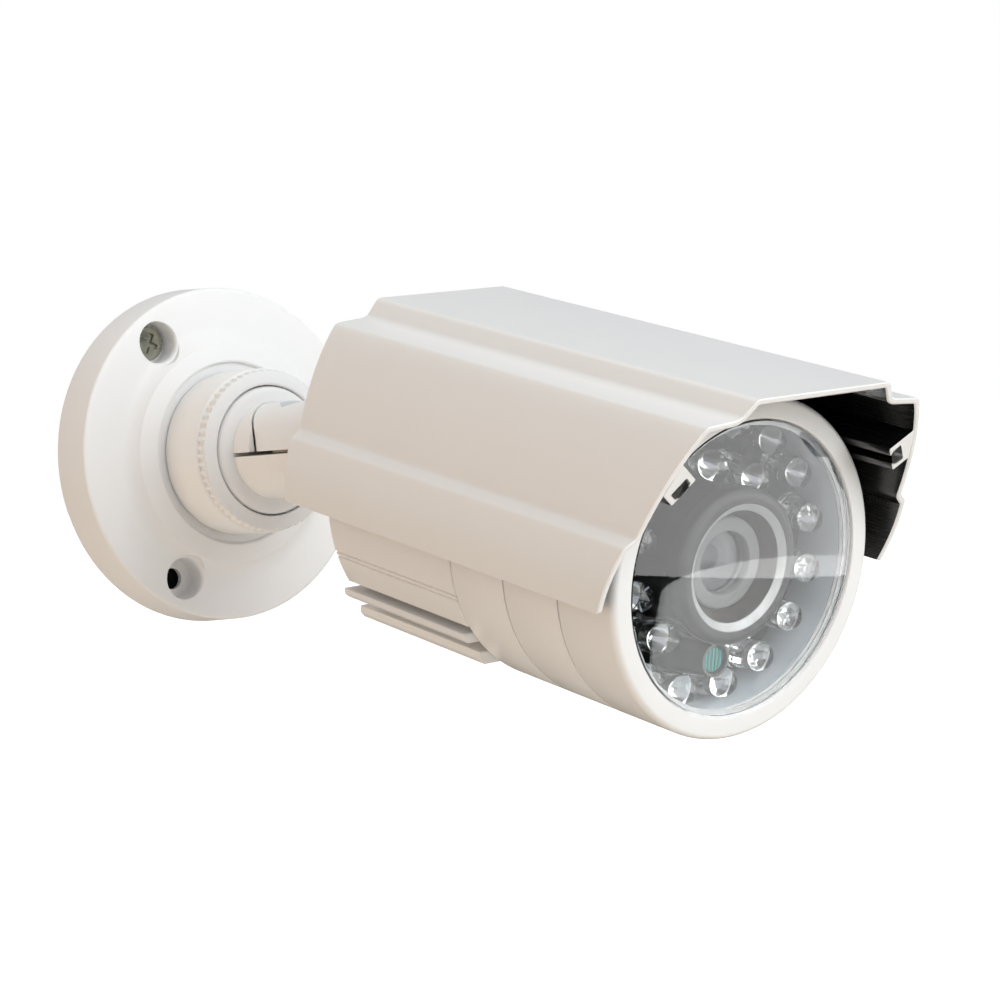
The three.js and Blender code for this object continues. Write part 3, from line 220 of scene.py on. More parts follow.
def along_x(mesh, y=0.0):
    """A piece made about the Y axis, laid along X instead, its middle at y."""
    return moved(mesh, Matrix.Translation((0, y, 0)) @ Matrix.Rotation(-math.pi / 2, 4, "Z"))


def along_z(mesh, y=0.0):
    """A piece made about the Y axis, stood along Z instead."""
    return moved(mesh, Matrix.Translation((0, y, 0)) @ Matrix.Rotation(math.pi / 2, 4, "X"))


def together(*meshes):
    """Several meshes as one, not joined to each other."""
    whole = meshes[0]
    for other in meshes[1:]:
        data = bpy.data.meshes.new("part")
        other.to_mesh(data)
        whole.from_mesh(data)
        bpy.data.meshes.remove(data)
        other.free()
    return whole


def carved(base, cut=(), add=(), keep=(), ease=0.0, steps=2):
    """A solid with others joined to it, kept inside, or cut out of it, and its edges eased."""
    def stand_in(mesh):
        data = bpy.data.meshes.new("solid")
        mesh.to_mesh(data)
        mesh.free()
        thing = bpy.data.objects.new("solid", data)
        bpy.context.scene.collection.objects.link(thing)
        return thing

    body = stand_in(base)
    tools = []
    for operation, meshes in (("UNION", add), ("INTERSECT", keep), ("DIFFERENCE", cut)):
        for mesh in meshes:
            tools.append(stand_in(mesh))
            modifier = body.modifiers.new("carve", "BOOLEAN")
            modifier.operation = operation
            modifier.solver = "EXACT"
            modifier.object = tools[-1]
    if ease:
        bevel = body.modifiers.new("ease", "BEVEL")
        bevel.width = ease
        bevel.segments = steps
        bevel.limit_method = "ANGLE"
        bevel.angle_limit = math.radians(38)
    graph = bpy.context.evaluated_depsgraph_get()
    result = bmesh.new()
    result.from_mesh(bpy.data.meshes.new_from_object(body.evaluated_get(graph)))
    for thing in [body, *tools]:
        data = thing.data
        bpy.data.objects.remove(thing)
        bpy.data.meshes.remove(data)
    bmesh.ops.remove_doubles(result, verts=result.verts, dist=1e-4)
    return result


def piece(name, mesh, material, body, slot, nodes=(), place=LEVEL, sharp=32, sides=None):
    """A finished piece: its mesh put in place in metres, smoothed, coloured and riding on a body."""
    moved(mesh, Matrix.Diagonal((MM, MM, MM, 1)) @ place)
    if sides:
        for face in mesh.faces:
            face.material_index = sides(face)
    data = bpy.data.meshes.new(name)
    mesh.to_mesh(data)
    mesh.free()
    for item in (material if isinstance(material, list) else [material]):
        data.materials.append(item)
    data.shade_smooth()
    data.set_sharp_from_angle(angle=math.radians(sharp))
    thing = bpy.data.objects.new(name, data)
    bpy.context.scene.collection.objects.link(thing)
    finished(thing, body, nodes)
    return thing


def tipped(name, mesh, material, slot, nodes=(), body="housing", **options):
    """A finished piece of the group that is tipped about the tilt bolt."""
    return piece(name, mesh, material, body, slot, nodes, TIPPED, **options)


def finished(thing, body, nodes=()):
    if nodes:
        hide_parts(*nodes)
    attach(thing, body)


# ------------------------------------------------------------------ shader building

class Wiring:
    """Adds nodes to a tree: sockets are filled with values or linked from other nodes."""

    def __init__(self, tree):
        self.tree = tree

    def add(self, kind, values=None, **settings):
        node = self.tree.nodes.new(kind)
        for key, value in settings.items():
            setattr(node, key, value)
        for key, value in (values or {}).items():
            socket = node.inputs[key]
            if isinstance(value, bpy.types.NodeSocket):
                self.tree.links.new(value, socket)
            else:
                socket.default_value = value
        return node

    def math(self, operation, *values):
        node = self.add("ShaderNodeMath", dict(enumerate(values)), operation=operation)
        return node.outputs[0]

    def noise(self, vector, scale, detail=3.0, roughness=0.5):
        values = {"Vector": vector, "Scale": scale, "Detail": detail, "Roughness": roughness}
        return self.add("ShaderNodeTexNoise", values).outputs["Fac"]

    def ramp(self, value, low, high, start=0.0, end=1.0):
        """A value stretched from one range to another, and held inside it."""
        values = {"Value": value, "From Min": low, "From Max": high, "To Min": start, "To Max": end}
        return self.add("ShaderNodeMapRange", values).outputs[0]

    def mix(self, amount, first, second):
        values = {"Factor": amount, 6: first, 7: second}
        return self.add("ShaderNodeMix", values, data_type="RGBA").outputs[2]


def shared_effect(name, inputs, outputs, build):
    """A shader node group with named values in and out, built once for every material."""
    group = bpy.data.node_groups.new(name, "ShaderNodeTree")
    for label, value in inputs.items():
        socket = group.interface.new_socket(label, in_out="INPUT", socket_type="NodeSocketFloat")
        socket.default_value = value
    for label in outputs:
        group.interface.new_socket(label, in_out="OUTPUT", socket_type="NodeSocketFloat")
    wiring = Wiring(group)
    source = group.nodes.new("NodeGroupInput")
    sink = group.nodes.new("NodeGroupOutput")
    place = wiring.add("ShaderNodeTexCoord").outputs["Object"]
    for label, value in build(wiring, place, source.outputs).items():
        group.links.new(value, sink.inputs[label])
    return group


def build_grain(w, place, inputs):
    """Fine orange peel of a sprayed or moulded surface, and its uneven shine."""
    peel = w.noise(place, inputs["Scale"], 4.0, 0.6)
    broad = w.noise(place, w.math("MULTIPLY", inputs["Scale"], 0.08), 2.0)
    height = w.math("ADD", w.math("MULTIPLY", peel, 0.7), w.math("MULTIPLY", broad, 0.3))
    uneven = w.math("MULTIPLY", w.math("SUBTRACT", broad, 0.5), inputs["Spread"])
    shine = w.math("ADD", inputs["Shine"], uneven)
    return {"Height": height, "Roughness": shine}


def build_soiling(w, place, inputs):
    """Cloudy patches with small specks, for dust, handling marks and faded colour."""
    cloud = w.ramp(w.noise(place, inputs["Patch"], 5.0, 0.62), 0.42, 0.72)
    speck = w.ramp(w.noise(place, inputs["Speck"], 2.0, 0.5), 0.68, 0.76)
    return {"Cloud": cloud, "Specks": speck}


def build_streaks(w, place, inputs):
    """Fine lines along the housing, as an extruded or drawn surface shows."""
    turn = (-HOUSING_TILT, 0.0, 0.0)
    level = w.add("ShaderNodeMapping", {"Vector": place, "Rotation": turn}).outputs[0]
    long = w.add("ShaderNodeMapping", {"Vector": level, "Scale": (1.0, 0.012, 1.0)}).outputs[0]
    lines = w.noise(long, inputs["Fineness"], 5.0, 0.65)
    return {"Lines": lines}


GRAIN = shared_effect(
    "surface_grain", {"Scale": 1600.0, "Shine": 0.35, "Spread": 0.1}, ["Height", "Roughness"], build_grain
)
SOILING = shared_effect(
    "soiling", {"Patch": 60.0, "Speck": 900.0}, ["Cloud", "Specks"], build_soiling
)
STREAKS = shared_effect("drawn_streaks", {"Fineness": 2500.0}, ["Lines"], build_streaks)


class Finish:
    """A material being made: one shader, and the shared effects that feed it."""

    def __init__(self, name, **constants):
        self.material = bpy.data.materials.new(name)
        self.material.use_nodes = True
        tree = self.material.node_tree
        self.w = Wiring(tree)
        self.shader = tree.nodes["Principled BSDF"]
        for key, value in constants.items():
            self.shader.inputs[key.replace("_", " ")].default_value = value

    def effect(self, group, **values):
        node = self.w.add("ShaderNodeGroup", node_tree=group)
        for key, value in values.items():
            node.inputs[key].default_value = value
        return node.outputs

    def feed(self, socket, value):
        self.w.tree.links.new(value, self.shader.inputs[socket])

    def bump(self, height, depth_mm, strength=1.0):
        values = {"Height": height, "Distance": depth_mm * MM, "Strength": strength}
        self.feed("Normal", self.w.add("ShaderNodeBump", values).outputs[0])

    def place(self):
        return self.w.add("ShaderNodeTexCoord").outputs["Object"]


def grey(level):
    return (level, level, level, 1.0)


def speckled(name, color, stain, shine=0.35, spread=0.1, scale=1600.0, depth=0.02, amount=0.4,
             patch=60.0, speck=900.0, **constants):
    """A finish with fine grain and soiling: base colour, the colour of its stains, and its shine."""
    finish = Finish(name, **constants)
    grain = finish.effect(GRAIN, Scale=scale, Shine=shine, Spread=spread)
    soil = finish.effect(SOILING, Patch=patch, Speck=speck)
    w = finish.w
    clouds = w.math("MULTIPLY", soil["Cloud"], 0.6)
    mask = w.math("MULTIPLY", w.math("MAXIMUM", clouds, soil["Specks"]), amount)
    finish.feed("Base Color", w.mix(mask, color, stain))
    finish.feed("Roughness", w.math("ADD", grain["Roughness"], w.math("MULTIPLY", mask, 0.25)))
    finish.bump(grain["Height"], depth)
    return finish


def clear(name, color, ior, roughness, scale=900.0, **constants):
    """A clear finish that lets the studio light through to what is behind it."""
    finish = Finish(
        name, Base_Color=color, IOR=ior, Transmission_Weight=1.0, **constants
    )
    grain = finish.effect(GRAIN, Scale=scale, Shine=roughness, Spread=roughness)
    finish.feed("Roughness", grain["Roughness"])
    finish.bump(grain["Height"], 0.002)
    shadow = finish.w.add("ShaderNodeLightPath").outputs["Is Shadow Ray"]
    finish.feed("Alpha", finish.w.math("SUBTRACT", 1.0, finish.w.math("MULTIPLY", shadow, 0.9)))
    return finish


white_enamel = speckled(
    "white_enamel", (0.86, 0.855, 0.84, 1), (0.80, 0.785, 0.75, 1), shine=0.34, spread=0.08,
    scale=1500.0, depth=0.012, amount=0.18, speck=1400.0, Coat_Weight=0.25, Coat_Roughness=0.2,
).material
cast_enamel = speckled(
    "white_enamel_on_casting", (0.87, 0.865, 0.855, 1), (0.79, 0.775, 0.745, 1), shine=0.42, spread=0.1,
    scale=1100.0, depth=0.03, amount=0.2, speck=1200.0, Coat_Weight=0.15, Coat_Roughness=0.3,
).material


# Near-black glossy colour with fine lines along it, for the shield's inner faces and the side faces of its
# claws.
def shield_inner_black_finish():
    finish = Finish("shield_inner_black", Coat_Weight=0.5, Coat_Roughness=0.08)
    lines = finish.effect(STREAKS, Fineness=2600.0)["Lines"]
    soil = finish.effect(SOILING, Patch=90.0, Speck=1500.0)
    w = finish.w
    finish.feed("Base Color", w.mix(w.math("MULTIPLY", soil["Specks"], 0.5), grey(0.006), grey(0.05)))
    finish.feed("Roughness", w.ramp(lines, 0.3, 0.7, 0.16, 0.34))
    finish.bump(lines, 0.02)
    return finish.material


shield_inner_black = shield_inner_black_finish()
window_clear = clear("window_glass", (0.985, 0.995, 0.99, 1), 1.5, 0.0).material
epoxy_clear = clear("lamp_epoxy", (0.97, 0.98, 0.985, 1), 1.5, 0.03).material
lens_clear = clear("lens_glass", (0.74, 0.76, 0.78, 1), 1.22, 0.0).material
hood_rubber = speckled(
    "hood_rubber", grey(0.008), grey(0.06), shine=0.36, spread=0.2, scale=2200.0,
    depth=0.03, amount=0.5, patch=220.0, speck=1500.0, Specular_IOR_Level=0.22,
).material
# The hood's inner bevel is painted light grey and partly metallic: painted sheen standing in for the light
# its black rubber edge catches.
painted_sheen_bevel = speckled(
    "hood_edge_painted_sheen", grey(0.30), grey(0.16), shine=0.4, spread=0.15, scale=1600.0, depth=0.008, amount=0.6,
    patch=500.0, speck=1500.0, Metallic=0.3,
).material
hood_cone = speckled(
    "hood_cone", (0.012, 0.008, 0.006, 1), (0.022, 0.016, 0.013, 1), shine=0.55, spread=0.05, scale=900.0,
    depth=0.002, Specular_IOR_Level=0.1,
).material
window_seal = speckled("window_seal", grey(0.30), grey(0.22), shine=0.5, depth=0.02).material
seal_rubber = speckled("seal_rubber", grey(0.015), grey(0.06), shine=0.7, depth=0.03, amount=0.5).material
black_moulding = speckled(
    "black_moulding", grey(0.018), grey(0.07), shine=0.38, spread=0.15, scale=2000.0, depth=0.015,
).material
lens_ring_grey = speckled(
    "lens_ring", grey(0.11), grey(0.08), shine=0.5, spread=0.08, scale=1200.0, depth=0.002,
    Specular_IOR_Level=0.2,
).material
cup_grey = speckled(
    "cup_lacquer", (0.40, 0.435, 0.47, 1), (0.33, 0.355, 0.38, 1), shine=0.36, spread=0.15, depth=0.02,
).material
nylon = speckled("nylon", (0.72, 0.70, 0.64, 1), (0.6, 0.57, 0.5, 1), shine=0.55, depth=0.02).material
zinc_yellow = speckled(
    "zinc_yellow", (0.46, 0.45, 0.37, 1), (0.24, 0.25, 0.16, 1), shine=0.3, spread=0.25, scale=2600.0,
    depth=0.02, amount=0.8, patch=700.0, Metallic=1.0,
).material
plated_steel = speckled(
    "plated_steel", (0.62, 0.63, 0.65, 1), (0.4, 0.4, 0.4, 1), shine=0.26, spread=0.2, scale=2600.0,
    depth=0.012, amount=0.6, patch=500.0, Metallic=1.0,
).material
lead_frame = speckled(
    "silvered_lead_frame", (0.95, 0.95, 0.94, 1), (0.7, 0.7, 0.68, 1), shine=0.2, spread=0.2,
    scale=4000.0, depth=0.02, amount=0.5, patch=900.0, Metallic=1.0,
).material


def circuit_board_finish():
    """Dark solder mask with slightly raised tracks under it."""
    finish = Finish("circuit_board", Specular_IOR_Level=0.12)
    w = finish.w
    place = finish.place()
    tracks = w.add("ShaderNodeTexVoronoi", {"Vector": place, "Scale": 420.0},
                   feature="DISTANCE_TO_EDGE", distance="MANHATTAN").outputs["Distance"]
    raised = w.ramp(tracks, 0.06, 0.12)
    grain = finish.effect(GRAIN, Scale=3000.0, Shine=0.4, Spread=0.2)
    finish.feed("Base Color", w.mix(raised, (0.006, 0.014, 0.01, 1), (0.003, 0.007, 0.005, 1)))
    finish.feed("Roughness", grain["Roughness"])
    finish.bump(raised, 0.03)
    return finish.material


def photocell_finish():
    """A green sensor face with a dark winding track across it."""
    finish = Finish("sensor_face", Specular_IOR_Level=0.2)
    w = finish.w
    place = finish.place()
    wave = w.add("ShaderNodeTexWave", {"Vector": place, "Scale": 420.0, "Distortion": 3.0, "Detail": 2.0},
                 wave_type="BANDS", bands_direction="X").outputs["Fac"]
    track = w.ramp(wave, 0.45, 0.6)
    grain = finish.effect(GRAIN, Scale=3000.0, Shine=0.3, Spread=0.2)
    finish.feed("Base Color", w.mix(track, (0.0, 0.22, 0.19, 1), (0.0, 0.02, 0.02, 1)))
    finish.feed("Roughness", grain["Roughness"])
    finish.bump(track, 0.02)
    return finish.material


circuit_board = circuit_board_finish()
sensor_face = photocell_finish()


# ------------------------------------------------------------------ repeats round the axis

def ring_tree():
    """Copies of a mesh on a circle about the Y axis, with up to two places left empty."""
    tree = bpy.data.node_groups.new("ring_of_copies", "GeometryNodeTree")
    tree.interface.new_socket("Geometry", in_out="INPUT", socket_type="NodeSocketGeometry")
    for label, kind, value in (
        ("Count", "NodeSocketInt", 8), ("Radius", "NodeSocketFloat", 0.01),
        ("First Angle", "NodeSocketFloat", 0.0), ("Empty A", "NodeSocketInt", -1),
        ("Empty B", "NodeSocketInt", -1), ("Material", "NodeSocketMaterial", None),
    ):
        socket = tree.interface.new_socket(label, in_out="INPUT", socket_type=kind)
        if value is not None:
            socket.default_value = value
    tree.interface.new_socket("Geometry", in_out="OUTPUT", socket_type="NodeSocketGeometry")
    w = Wiring(tree)
    source = tree.nodes.new("NodeGroupInput").outputs
    sink = tree.nodes.new("NodeGroupOutput")
    index = w.add("GeometryNodeInputIndex").outputs[0]
    step = w.math("DIVIDE", 2 * math.pi, source["Count"])
    angle = w.math("ADD", w.math("MULTIPLY", index, step), source["First Angle"])
    x = w.math("MULTIPLY", w.math("COSINE", angle), source["Radius"])
    z = w.math("MULTIPLY", w.math("SINE", angle), source["Radius"])
    place = w.add("ShaderNodeCombineXYZ", {"X": x, "Z": z}).outputs[0]
    points = w.add("GeometryNodePoints", {"Count": source["Count"], "Position": place}).outputs[0]
    turn = w.add("ShaderNodeCombineXYZ", {"Y": w.math("MULTIPLY", angle, -1.0)}).outputs[0]

    def is_not(empty):
        return w.math("GREATER_THAN", w.math("ABSOLUTE", w.math("SUBTRACT", index, empty)), 0.5)

    filled = w.math("MULTIPLY", is_not(source["Empty A"]), is_not(source["Empty B"]))
    copies = w.add("GeometryNodeInstanceOnPoints", {
        "Points": points, "Selection": filled, "Instance": source["Geometry"], "Rotation": turn,
    }).outputs[0]
    solid = w.add("GeometryNodeRealizeInstances", {"Geometry": copies}).outputs[0]
    finish = {"Geometry": solid, "Material": source["Material"]}
    coloured = w.add("GeometryNodeSetMaterial", finish).outputs[0]
    tree.links.new(coloured, sink.inputs[0])
    return tree


RING = ring_tree()


def ring_of(mesh, material, count, radius, first_angle, empty=(-1, -1)):
    """A mesh in millimetres, copied round the axis by the tree, as one new mesh."""
    data = bpy.data.meshes.new("copy")
    mesh.to_mesh(data)
    mesh.free()
    thing = bpy.data.objects.new("copy", data)
    bpy.context.scene.collection.objects.link(thing)
    modifier = thing.modifiers.new("ring", "NODES")
    modifier.node_group = RING
    values = {
        "Count": count, "Radius": float(radius), "First Angle": math.radians(first_angle),
        "Empty A": empty[0], "Empty B": empty[1], "Material": material,
    }
    for item in RING.interface.items_tree:
        if item.in_out == "INPUT" and item.name in values:
            modifier[item.identifier] = values[item.name]
    graph = bpy.context.evaluated_depsgraph_get()
    result = bmesh.new()
    result.from_mesh(bpy.data.meshes.new_from_object(thing.evaluated_get(graph)))
    bpy.data.objects.remove(thing)
    bpy.data.meshes.remove(data)
    return result


# ------------------------------------------------------------------ wall bracket

HUB_Y = -13.3
RECESS_Y = -12.1
COLLAR_FRONT = -25.7
MOUTH_Y = -26.3
PAN_Y = -37.6
SHOULDER_Y = -48.0
ARM_RADIUS = 10.0
LINK_RADIUS = 9.7
SHOULDER_REACH = 5.37  # from the pan bolt to the stem's shoulder, which the link's side comes to
HOLE_CIRCLE = 28.2
HOLE_ANGLES = (120, 240, 0)
WALL_HOLE = 2.2
COUNTERBORE = 4.2
COUNTERBORE_FLOOR = -5.3
COUNTERBORE_MOUTH = -9.3
CABLE_HOLE = 3.6
CABLE_HOLE_Z = -7
PLATE_SCREW = {
    "head_back": -5.6, "head_front": -6.7, "head_radius": 3.5, "shank_radius": 1.8, "shank_end": -0.3,
}
KNURLS = 60
KNURL_DEPTH = 0.42
JOINT_GAP = 0.4
BOLT_BORE = 2.7
BOLT_SEAT = 6.6  # how far from the joint's middle the bolt's head and its nut are seated
SEAT_RADIUS = 4.5
BOLT_RADIUS = 2.4
NUT_RADIUS = 4.2
SLOT_HALF = 4.7
PAN_WASHER = 0.5  # thickness
TILT_WASHER = 0.8
TILT_WASHER_X = 4.15
NECK_RADIUS = 13.1
ARM_FACETS = 96
ARM_EASE = 0.35


def hole_place(angle):
    return HOLE_CIRCLE * math.cos(math.radians(angle)), HOLE_CIRCLE * math.sin(math.radians(angle))


def wall_base():
    fillet = [(23.0 + 4.2 * (1 - i / 9), -10.28 - 1.62 * (i / 9) ** 2.4) for i in range(10)]
    profile = eased([
        (0, -1.5), (23.1, -1.5), (23.1, -4.1, 0.4), (32.7, -4.1, 0.4), (32.7, -1.5), (33.4, -1.5, 0.1),
        (33.4, 0), (34.9, 0, 0.3), (35.0, -0.6, 0.3), (34.55, -9.6, 1.3), (33.9, -9.93, 0.8), (31, -10.05),
    ]) + fillet + eased([
        (23.0, -11.9), (22.8, -12.15, 0.2), (19.2, HUB_Y, 0.5), (18.8, -12.9, 0.3), (18.8, RECESS_Y, 0.2),
        (14.7, RECESS_Y, 0.2), (14.7, -18.5, 0.3), (12.0, -18.5, 0.3), (12.0, -4.0, 0.5), (0, -4.0),
    ])
    holes = []
    for angle in HOLE_ANGLES:
        x, z = hole_place(angle)
        shape = [
            (0, 1), (WALL_HOLE, 1), (WALL_HOLE, COUNTERBORE_FLOOR), (COUNTERBORE - 0.15, COUNTERBORE_FLOOR),
            (COUNTERBORE, COUNTERBORE_FLOOR - 0.15), (COUNTERBORE, COUNTERBORE_MOUTH),
        ]
        shape += [(COUNTERBORE + 0.7 * (1 - math.cos(a)), COUNTERBORE_MOUTH - 1.1 * math.sin(a))
                  for a in quarter(6, first=1)]
        holes.append(turned(shape + [(5.1, -14.0), (0, -14.0)], 48, x, z))
    holes.append(turned([(0, 1), (CABLE_HOLE, 1), (CABLE_HOLE, -5), (0, -5)], 40, 0, CABLE_HOLE_Z))
    return carved(turned(profile, 180), cut=holes)


def wall_gasket():
    x, z = hole_place(HOLE_ANGLES[0])
    disc = turned(eased([(0, -1.2), (33.1, -1.2), (33.1, 0), (0, 0)]), FINE)
    screw_hole = moved(rod(2.1, -3, 2, COARSE), Matrix.Translation((x, 0, z)))
    cable_hole = moved(rod(CABLE_HOLE, -3, 2, 40), Matrix.Translation((0, 0, CABLE_HOLE_Z)))
    return carved(disc, cut=[screw_hole, cable_hole])


def cross_head_screw(
    place, head_back, head_front, head_radius, shank_radius, shank_end, toward=-1, recess=1.5,
):
    """A screw with a domed head and a cross recess."""
    rise = 0.35 * toward
    dome = [(head_radius * math.sin(a), head_front - rise + rise * math.cos(a)) for a in quarter(6)]
    profile = dome + [
        (head_radius, head_back), (shank_radius, head_back), (shank_radius, shank_end), (0, shank_end),
    ]
    depth = (head_front + toward, head_front - recess * toward)
    span = (min(depth), max(depth))
    wing, half = head_radius * 0.6, head_radius * 0.15
    cuts = [block((-wing, wing), span, (-half, half)), block((-half, half), span, (-wing, wing))]
    screw = carved(turned(profile, 40), cut=cuts, ease=0.06)
    spin = Matrix.Rotation(math.radians(28), 4, "Y")
    return moved(screw, Matrix.Translation((place[0], 0, place[1])) @ spin)


def lock_collar():
    def notches(y, i):
        in_band = COLLAR_FRONT + 0.15 < y < COLLAR_FRONT + 2.0
        return -KNURL_DEPTH if in_band and i % 4 in (0, 1) else 0.0

    profile = eased([
        (16.9, -12.4, 0.3), (16.9, -23.3, 0.2), (16.55, -23.65, 0.2), (16.55, -25.45, 0), (16.1, -25.75, 0.2),
        (13.75, -26.25, 0.25), (13.4, -26.0, 0.2), (13.4, -23.5, 0.2), (15.0, -23.5, 0.2), (15.0, -12.4, 0.2),
    ], closed=True)
    return turned(profile, KNURLS * 4, ripple=notches)


def half_space(sign):
    """All that lies above or below the joint's middle, short of the gap."""
    low, high = sorted((sign * JOINT_GAP, sign * 30.0))
    return block((-30, 30), (-120, 0), (low, high))


def bolt_hole(y, sideways=False):
    """The hole of a joint's bolt, with its head's and its nut's seats."""
    shape = [
        (0, -20), (SEAT_RADIUS, -20), (SEAT_RADIUS, -BOLT_SEAT),
        (BOLT_BORE, -BOLT_SEAT), (BOLT_BORE, 20), (0, 20),
    ]
    seat = drawn(hexagon(SEAT_RADIUS), BOLT_SEAT, 20, edge=0)
    turn = along_x if sideways else along_z
    return [turn(turned(shape, 40), y), turn(seat, y)]


def arm_bar(radius, start, end):
    return rod(radius, start, end, ARM_FACETS)


def round_about_pan_bolt(radius):
    """An upright cylinder on the pan bolt, taller than the arm."""
    return along_z(arm_bar(radius, -20, 20), PAN_Y)


def swivel_stem():
    foot = turned(eased([(0, -23.2), (14.4, -23.2), (14.4, -19.7), (0, -19.7)]), FINE)
    front = MOUTH_Y - 0.5
    neck = turned(eased([(0, front), (NECK_RADIUS, front, 1.6), (NECK_RADIUS, -22), (0, -22)], steps=6), FINE)
    straight = arm_bar(ARM_RADIUS, PAN_Y, MOUTH_Y + 1)
    end = carved(arm_bar(ARM_RADIUS, PAN_Y - 12, PAN_Y + 1), keep=[round_about_pan_bolt(ARM_RADIUS)])
    tongue = carved(straight, add=[end], keep=[half_space(-1)])
    shoulder = carved(
        arm_bar(ARM_RADIUS, PAN_Y + SHOULDER_REACH, MOUTH_Y + 1),
        keep=[half_space(1)], cut=[round_about_pan_bolt(LINK_RADIUS + JOINT_GAP)],
    )
    cuts = [rod(5, -23.3, -19), *bolt_hole(PAN_Y)]
    return carved(foot, add=[neck, tongue, shoulder], cut=cuts, ease=ARM_EASE)


def pan_link():
    reach = arm_bar(LINK_RADIUS, TILT_BOLT_Y - 12, PAN_Y + 12)
    end = carved(arm_bar(LINK_RADIUS, PAN_Y - 0.5, PAN_Y + 12), keep=[round_about_pan_bolt(LINK_RADIUS)])
    upper = carved(arm_bar(LINK_RADIUS, SHOULDER_Y - 0.4, PAN_Y), add=[end], keep=[half_space(1)])
    ears = carved(
        along_x(arm_bar(LINK_RADIUS, -LINK_RADIUS, LINK_RADIUS), TILT_BOLT_Y),
        add=[block((-10, 10), (TILT_BOLT_Y, SHOULDER_Y), (-LINK_RADIUS, LINK_RADIUS))],
        keep=[reach],
    )
    slot = block((-SLOT_HALF, SLOT_HALF), (TILT_BOLT_Y - 20, SHOULDER_Y - 0.3), (-20, 20))
    notch = block((-SLOT_HALF, SLOT_HALF), (SHOULDER_Y - 1.3, SHOULDER_Y + 1), (-20, JOINT_GAP))
    cuts = [slot, notch, *bolt_hole(PAN_Y), *bolt_hole(TILT_BOLT_Y, True)]
    return carved(upper, add=[ears], cut=cuts, ease=ARM_EASE)


def joint_bolt():
    """A socket-head bolt about the Y axis with its head at the low end."""
    bolt = turned(eased([
        (0, -9.1), (NUT_RADIUS, -9.1, 0.4), (NUT_RADIUS, -6.9),
        (BOLT_RADIUS, -6.9), (BOLT_RADIUS, 8.7, 0.3), (0, 8.7),
    ]), 40)
    socket = drawn(hexagon(2.2), -10, -7.5, edge=0)
    return carved(bolt, cut=[socket], ease=0.05)


def joint_nut():
    return carved(drawn(hexagon(NUT_RADIUS), 6.9, 8.6, edge=0.2), cut=[rod(BOLT_BORE, 5, 10, 40)])


def joint_washer(thickness, middle=0.0):
    disc = rod(6.5, middle - thickness / 2, middle + thickness / 2, 48)
    return carved(disc, cut=[rod(BOLT_BORE, -20, 20, 40)])


piece("wall_plate", wall_base(), cast_enamel, "base", "white_paint", ["wall_base"])
piece("plate_screw", cross_head_screw(hole_place(HOLE_ANGLES[0]), **PLATE_SCREW, recess=0.8), zinc_yellow,
      "base", "zinc_yellow", ["wall_screw"])
piece("plate_gasket", wall_gasket(), seal_rubber, "base", "black_rubber", ["wall_gasket"])
piece("collar_ring", lock_collar(), cast_enamel, "collar", "white_paint", ["lock_collar"], sharp=40)
piece("stem", swivel_stem(), cast_enamel, "stem", "white_paint", ["swivel_stem"])
piece("link", pan_link(), cast_enamel, "link", "white_paint", ["pan_link"])
piece("pan_joint_bolt", along_z(joint_bolt(), PAN_Y), plated_steel, "link", "bright_steel", ["pan_bolt"])
piece("pan_joint_nut", along_z(joint_nut(), PAN_Y), plated_steel, "stem", "bright_steel", ["pan_nut"])
piece("pan_joint_washer", along_z(joint_washer(PAN_WASHER), PAN_Y), nylon, "link", "nylon", ["pan_washer"])
piece("tilt_joint_bolt", along_x(joint_bolt(), TILT_BOLT_Y), plated_steel, "link", "bright_steel",
      ["tilt_bolt"])
piece("tilt_joint_nut", along_x(joint_nut(), TILT_BOLT_Y), plated_steel, "link", "bright_steel", ["tilt_nut"])
for side, name in ((-1, "left"), (1, "right")):
    washer = joint_washer(TILT_WASHER, side * TILT_WASHER_X)
    piece(f"tilt_joint_washer_{name}", along_x(washer, TILT_BOLT_Y), nylon, "link", "nylon",
          [f"tilt_washer_{name}"])

# ------------------------------------------------------------------ roll joint

CAP_END = 84.8
BOSS_END = 88.3
WEB_FRONT = 92.1
WEB_END = 97.3
WEB_RADIUS = 11
TONGUE_RADIUS = 8.2
TONGUE_HALF = 3.6
STUD_RADIUS = 4
STUD_BORE = 4.3


def roll_knuckle():
    tongue = carved(
        along_x(rod(TONGUE_RADIUS, -TONGUE_HALF, TONGUE_HALF, 72), PIN_PLACE),
        add=[block((-TONGUE_HALF, TONGUE_HALF), (WEB_END - 1, PIN_PLACE), (-TONGUE_RADIUS, TONGUE_RADIUS))],
    )
    web = turned(eased([
        (0, WEB_FRONT), (WEB_RADIUS, WEB_FRONT, 0.5), (WEB_RADIUS, WEB_END, 0.5), (0, WEB_END),
    ]), 96)
    stud = rod(STUD_RADIUS, 81.3, WEB_FRONT + 1, 48)
    bore = along_x(rod(BOLT_BORE, -20, 20, 40), PIN_PLACE)
    return carved(web, add=[tongue, stud], cut=[bore], ease=0.3)


def lock_nut():
    nut = drawn(eased(hexagon(9), 0.5, closed=True), 88.6, 91.8, edge=0.25)
    return carved(nut, cut=[rod(STUD_BORE, 80, 100, 48)], ease=0.12)


tipped("knuckle", roll_knuckle(), cast_enamel, "white_paint", ["roll_knuckle"], body="knuckle")
tipped("jam_nut", lock_nut(), white_enamel, "white_paint", ["roll_lock_nut"], body="lock_nut")

# ------------------------------------------------------------------ housing

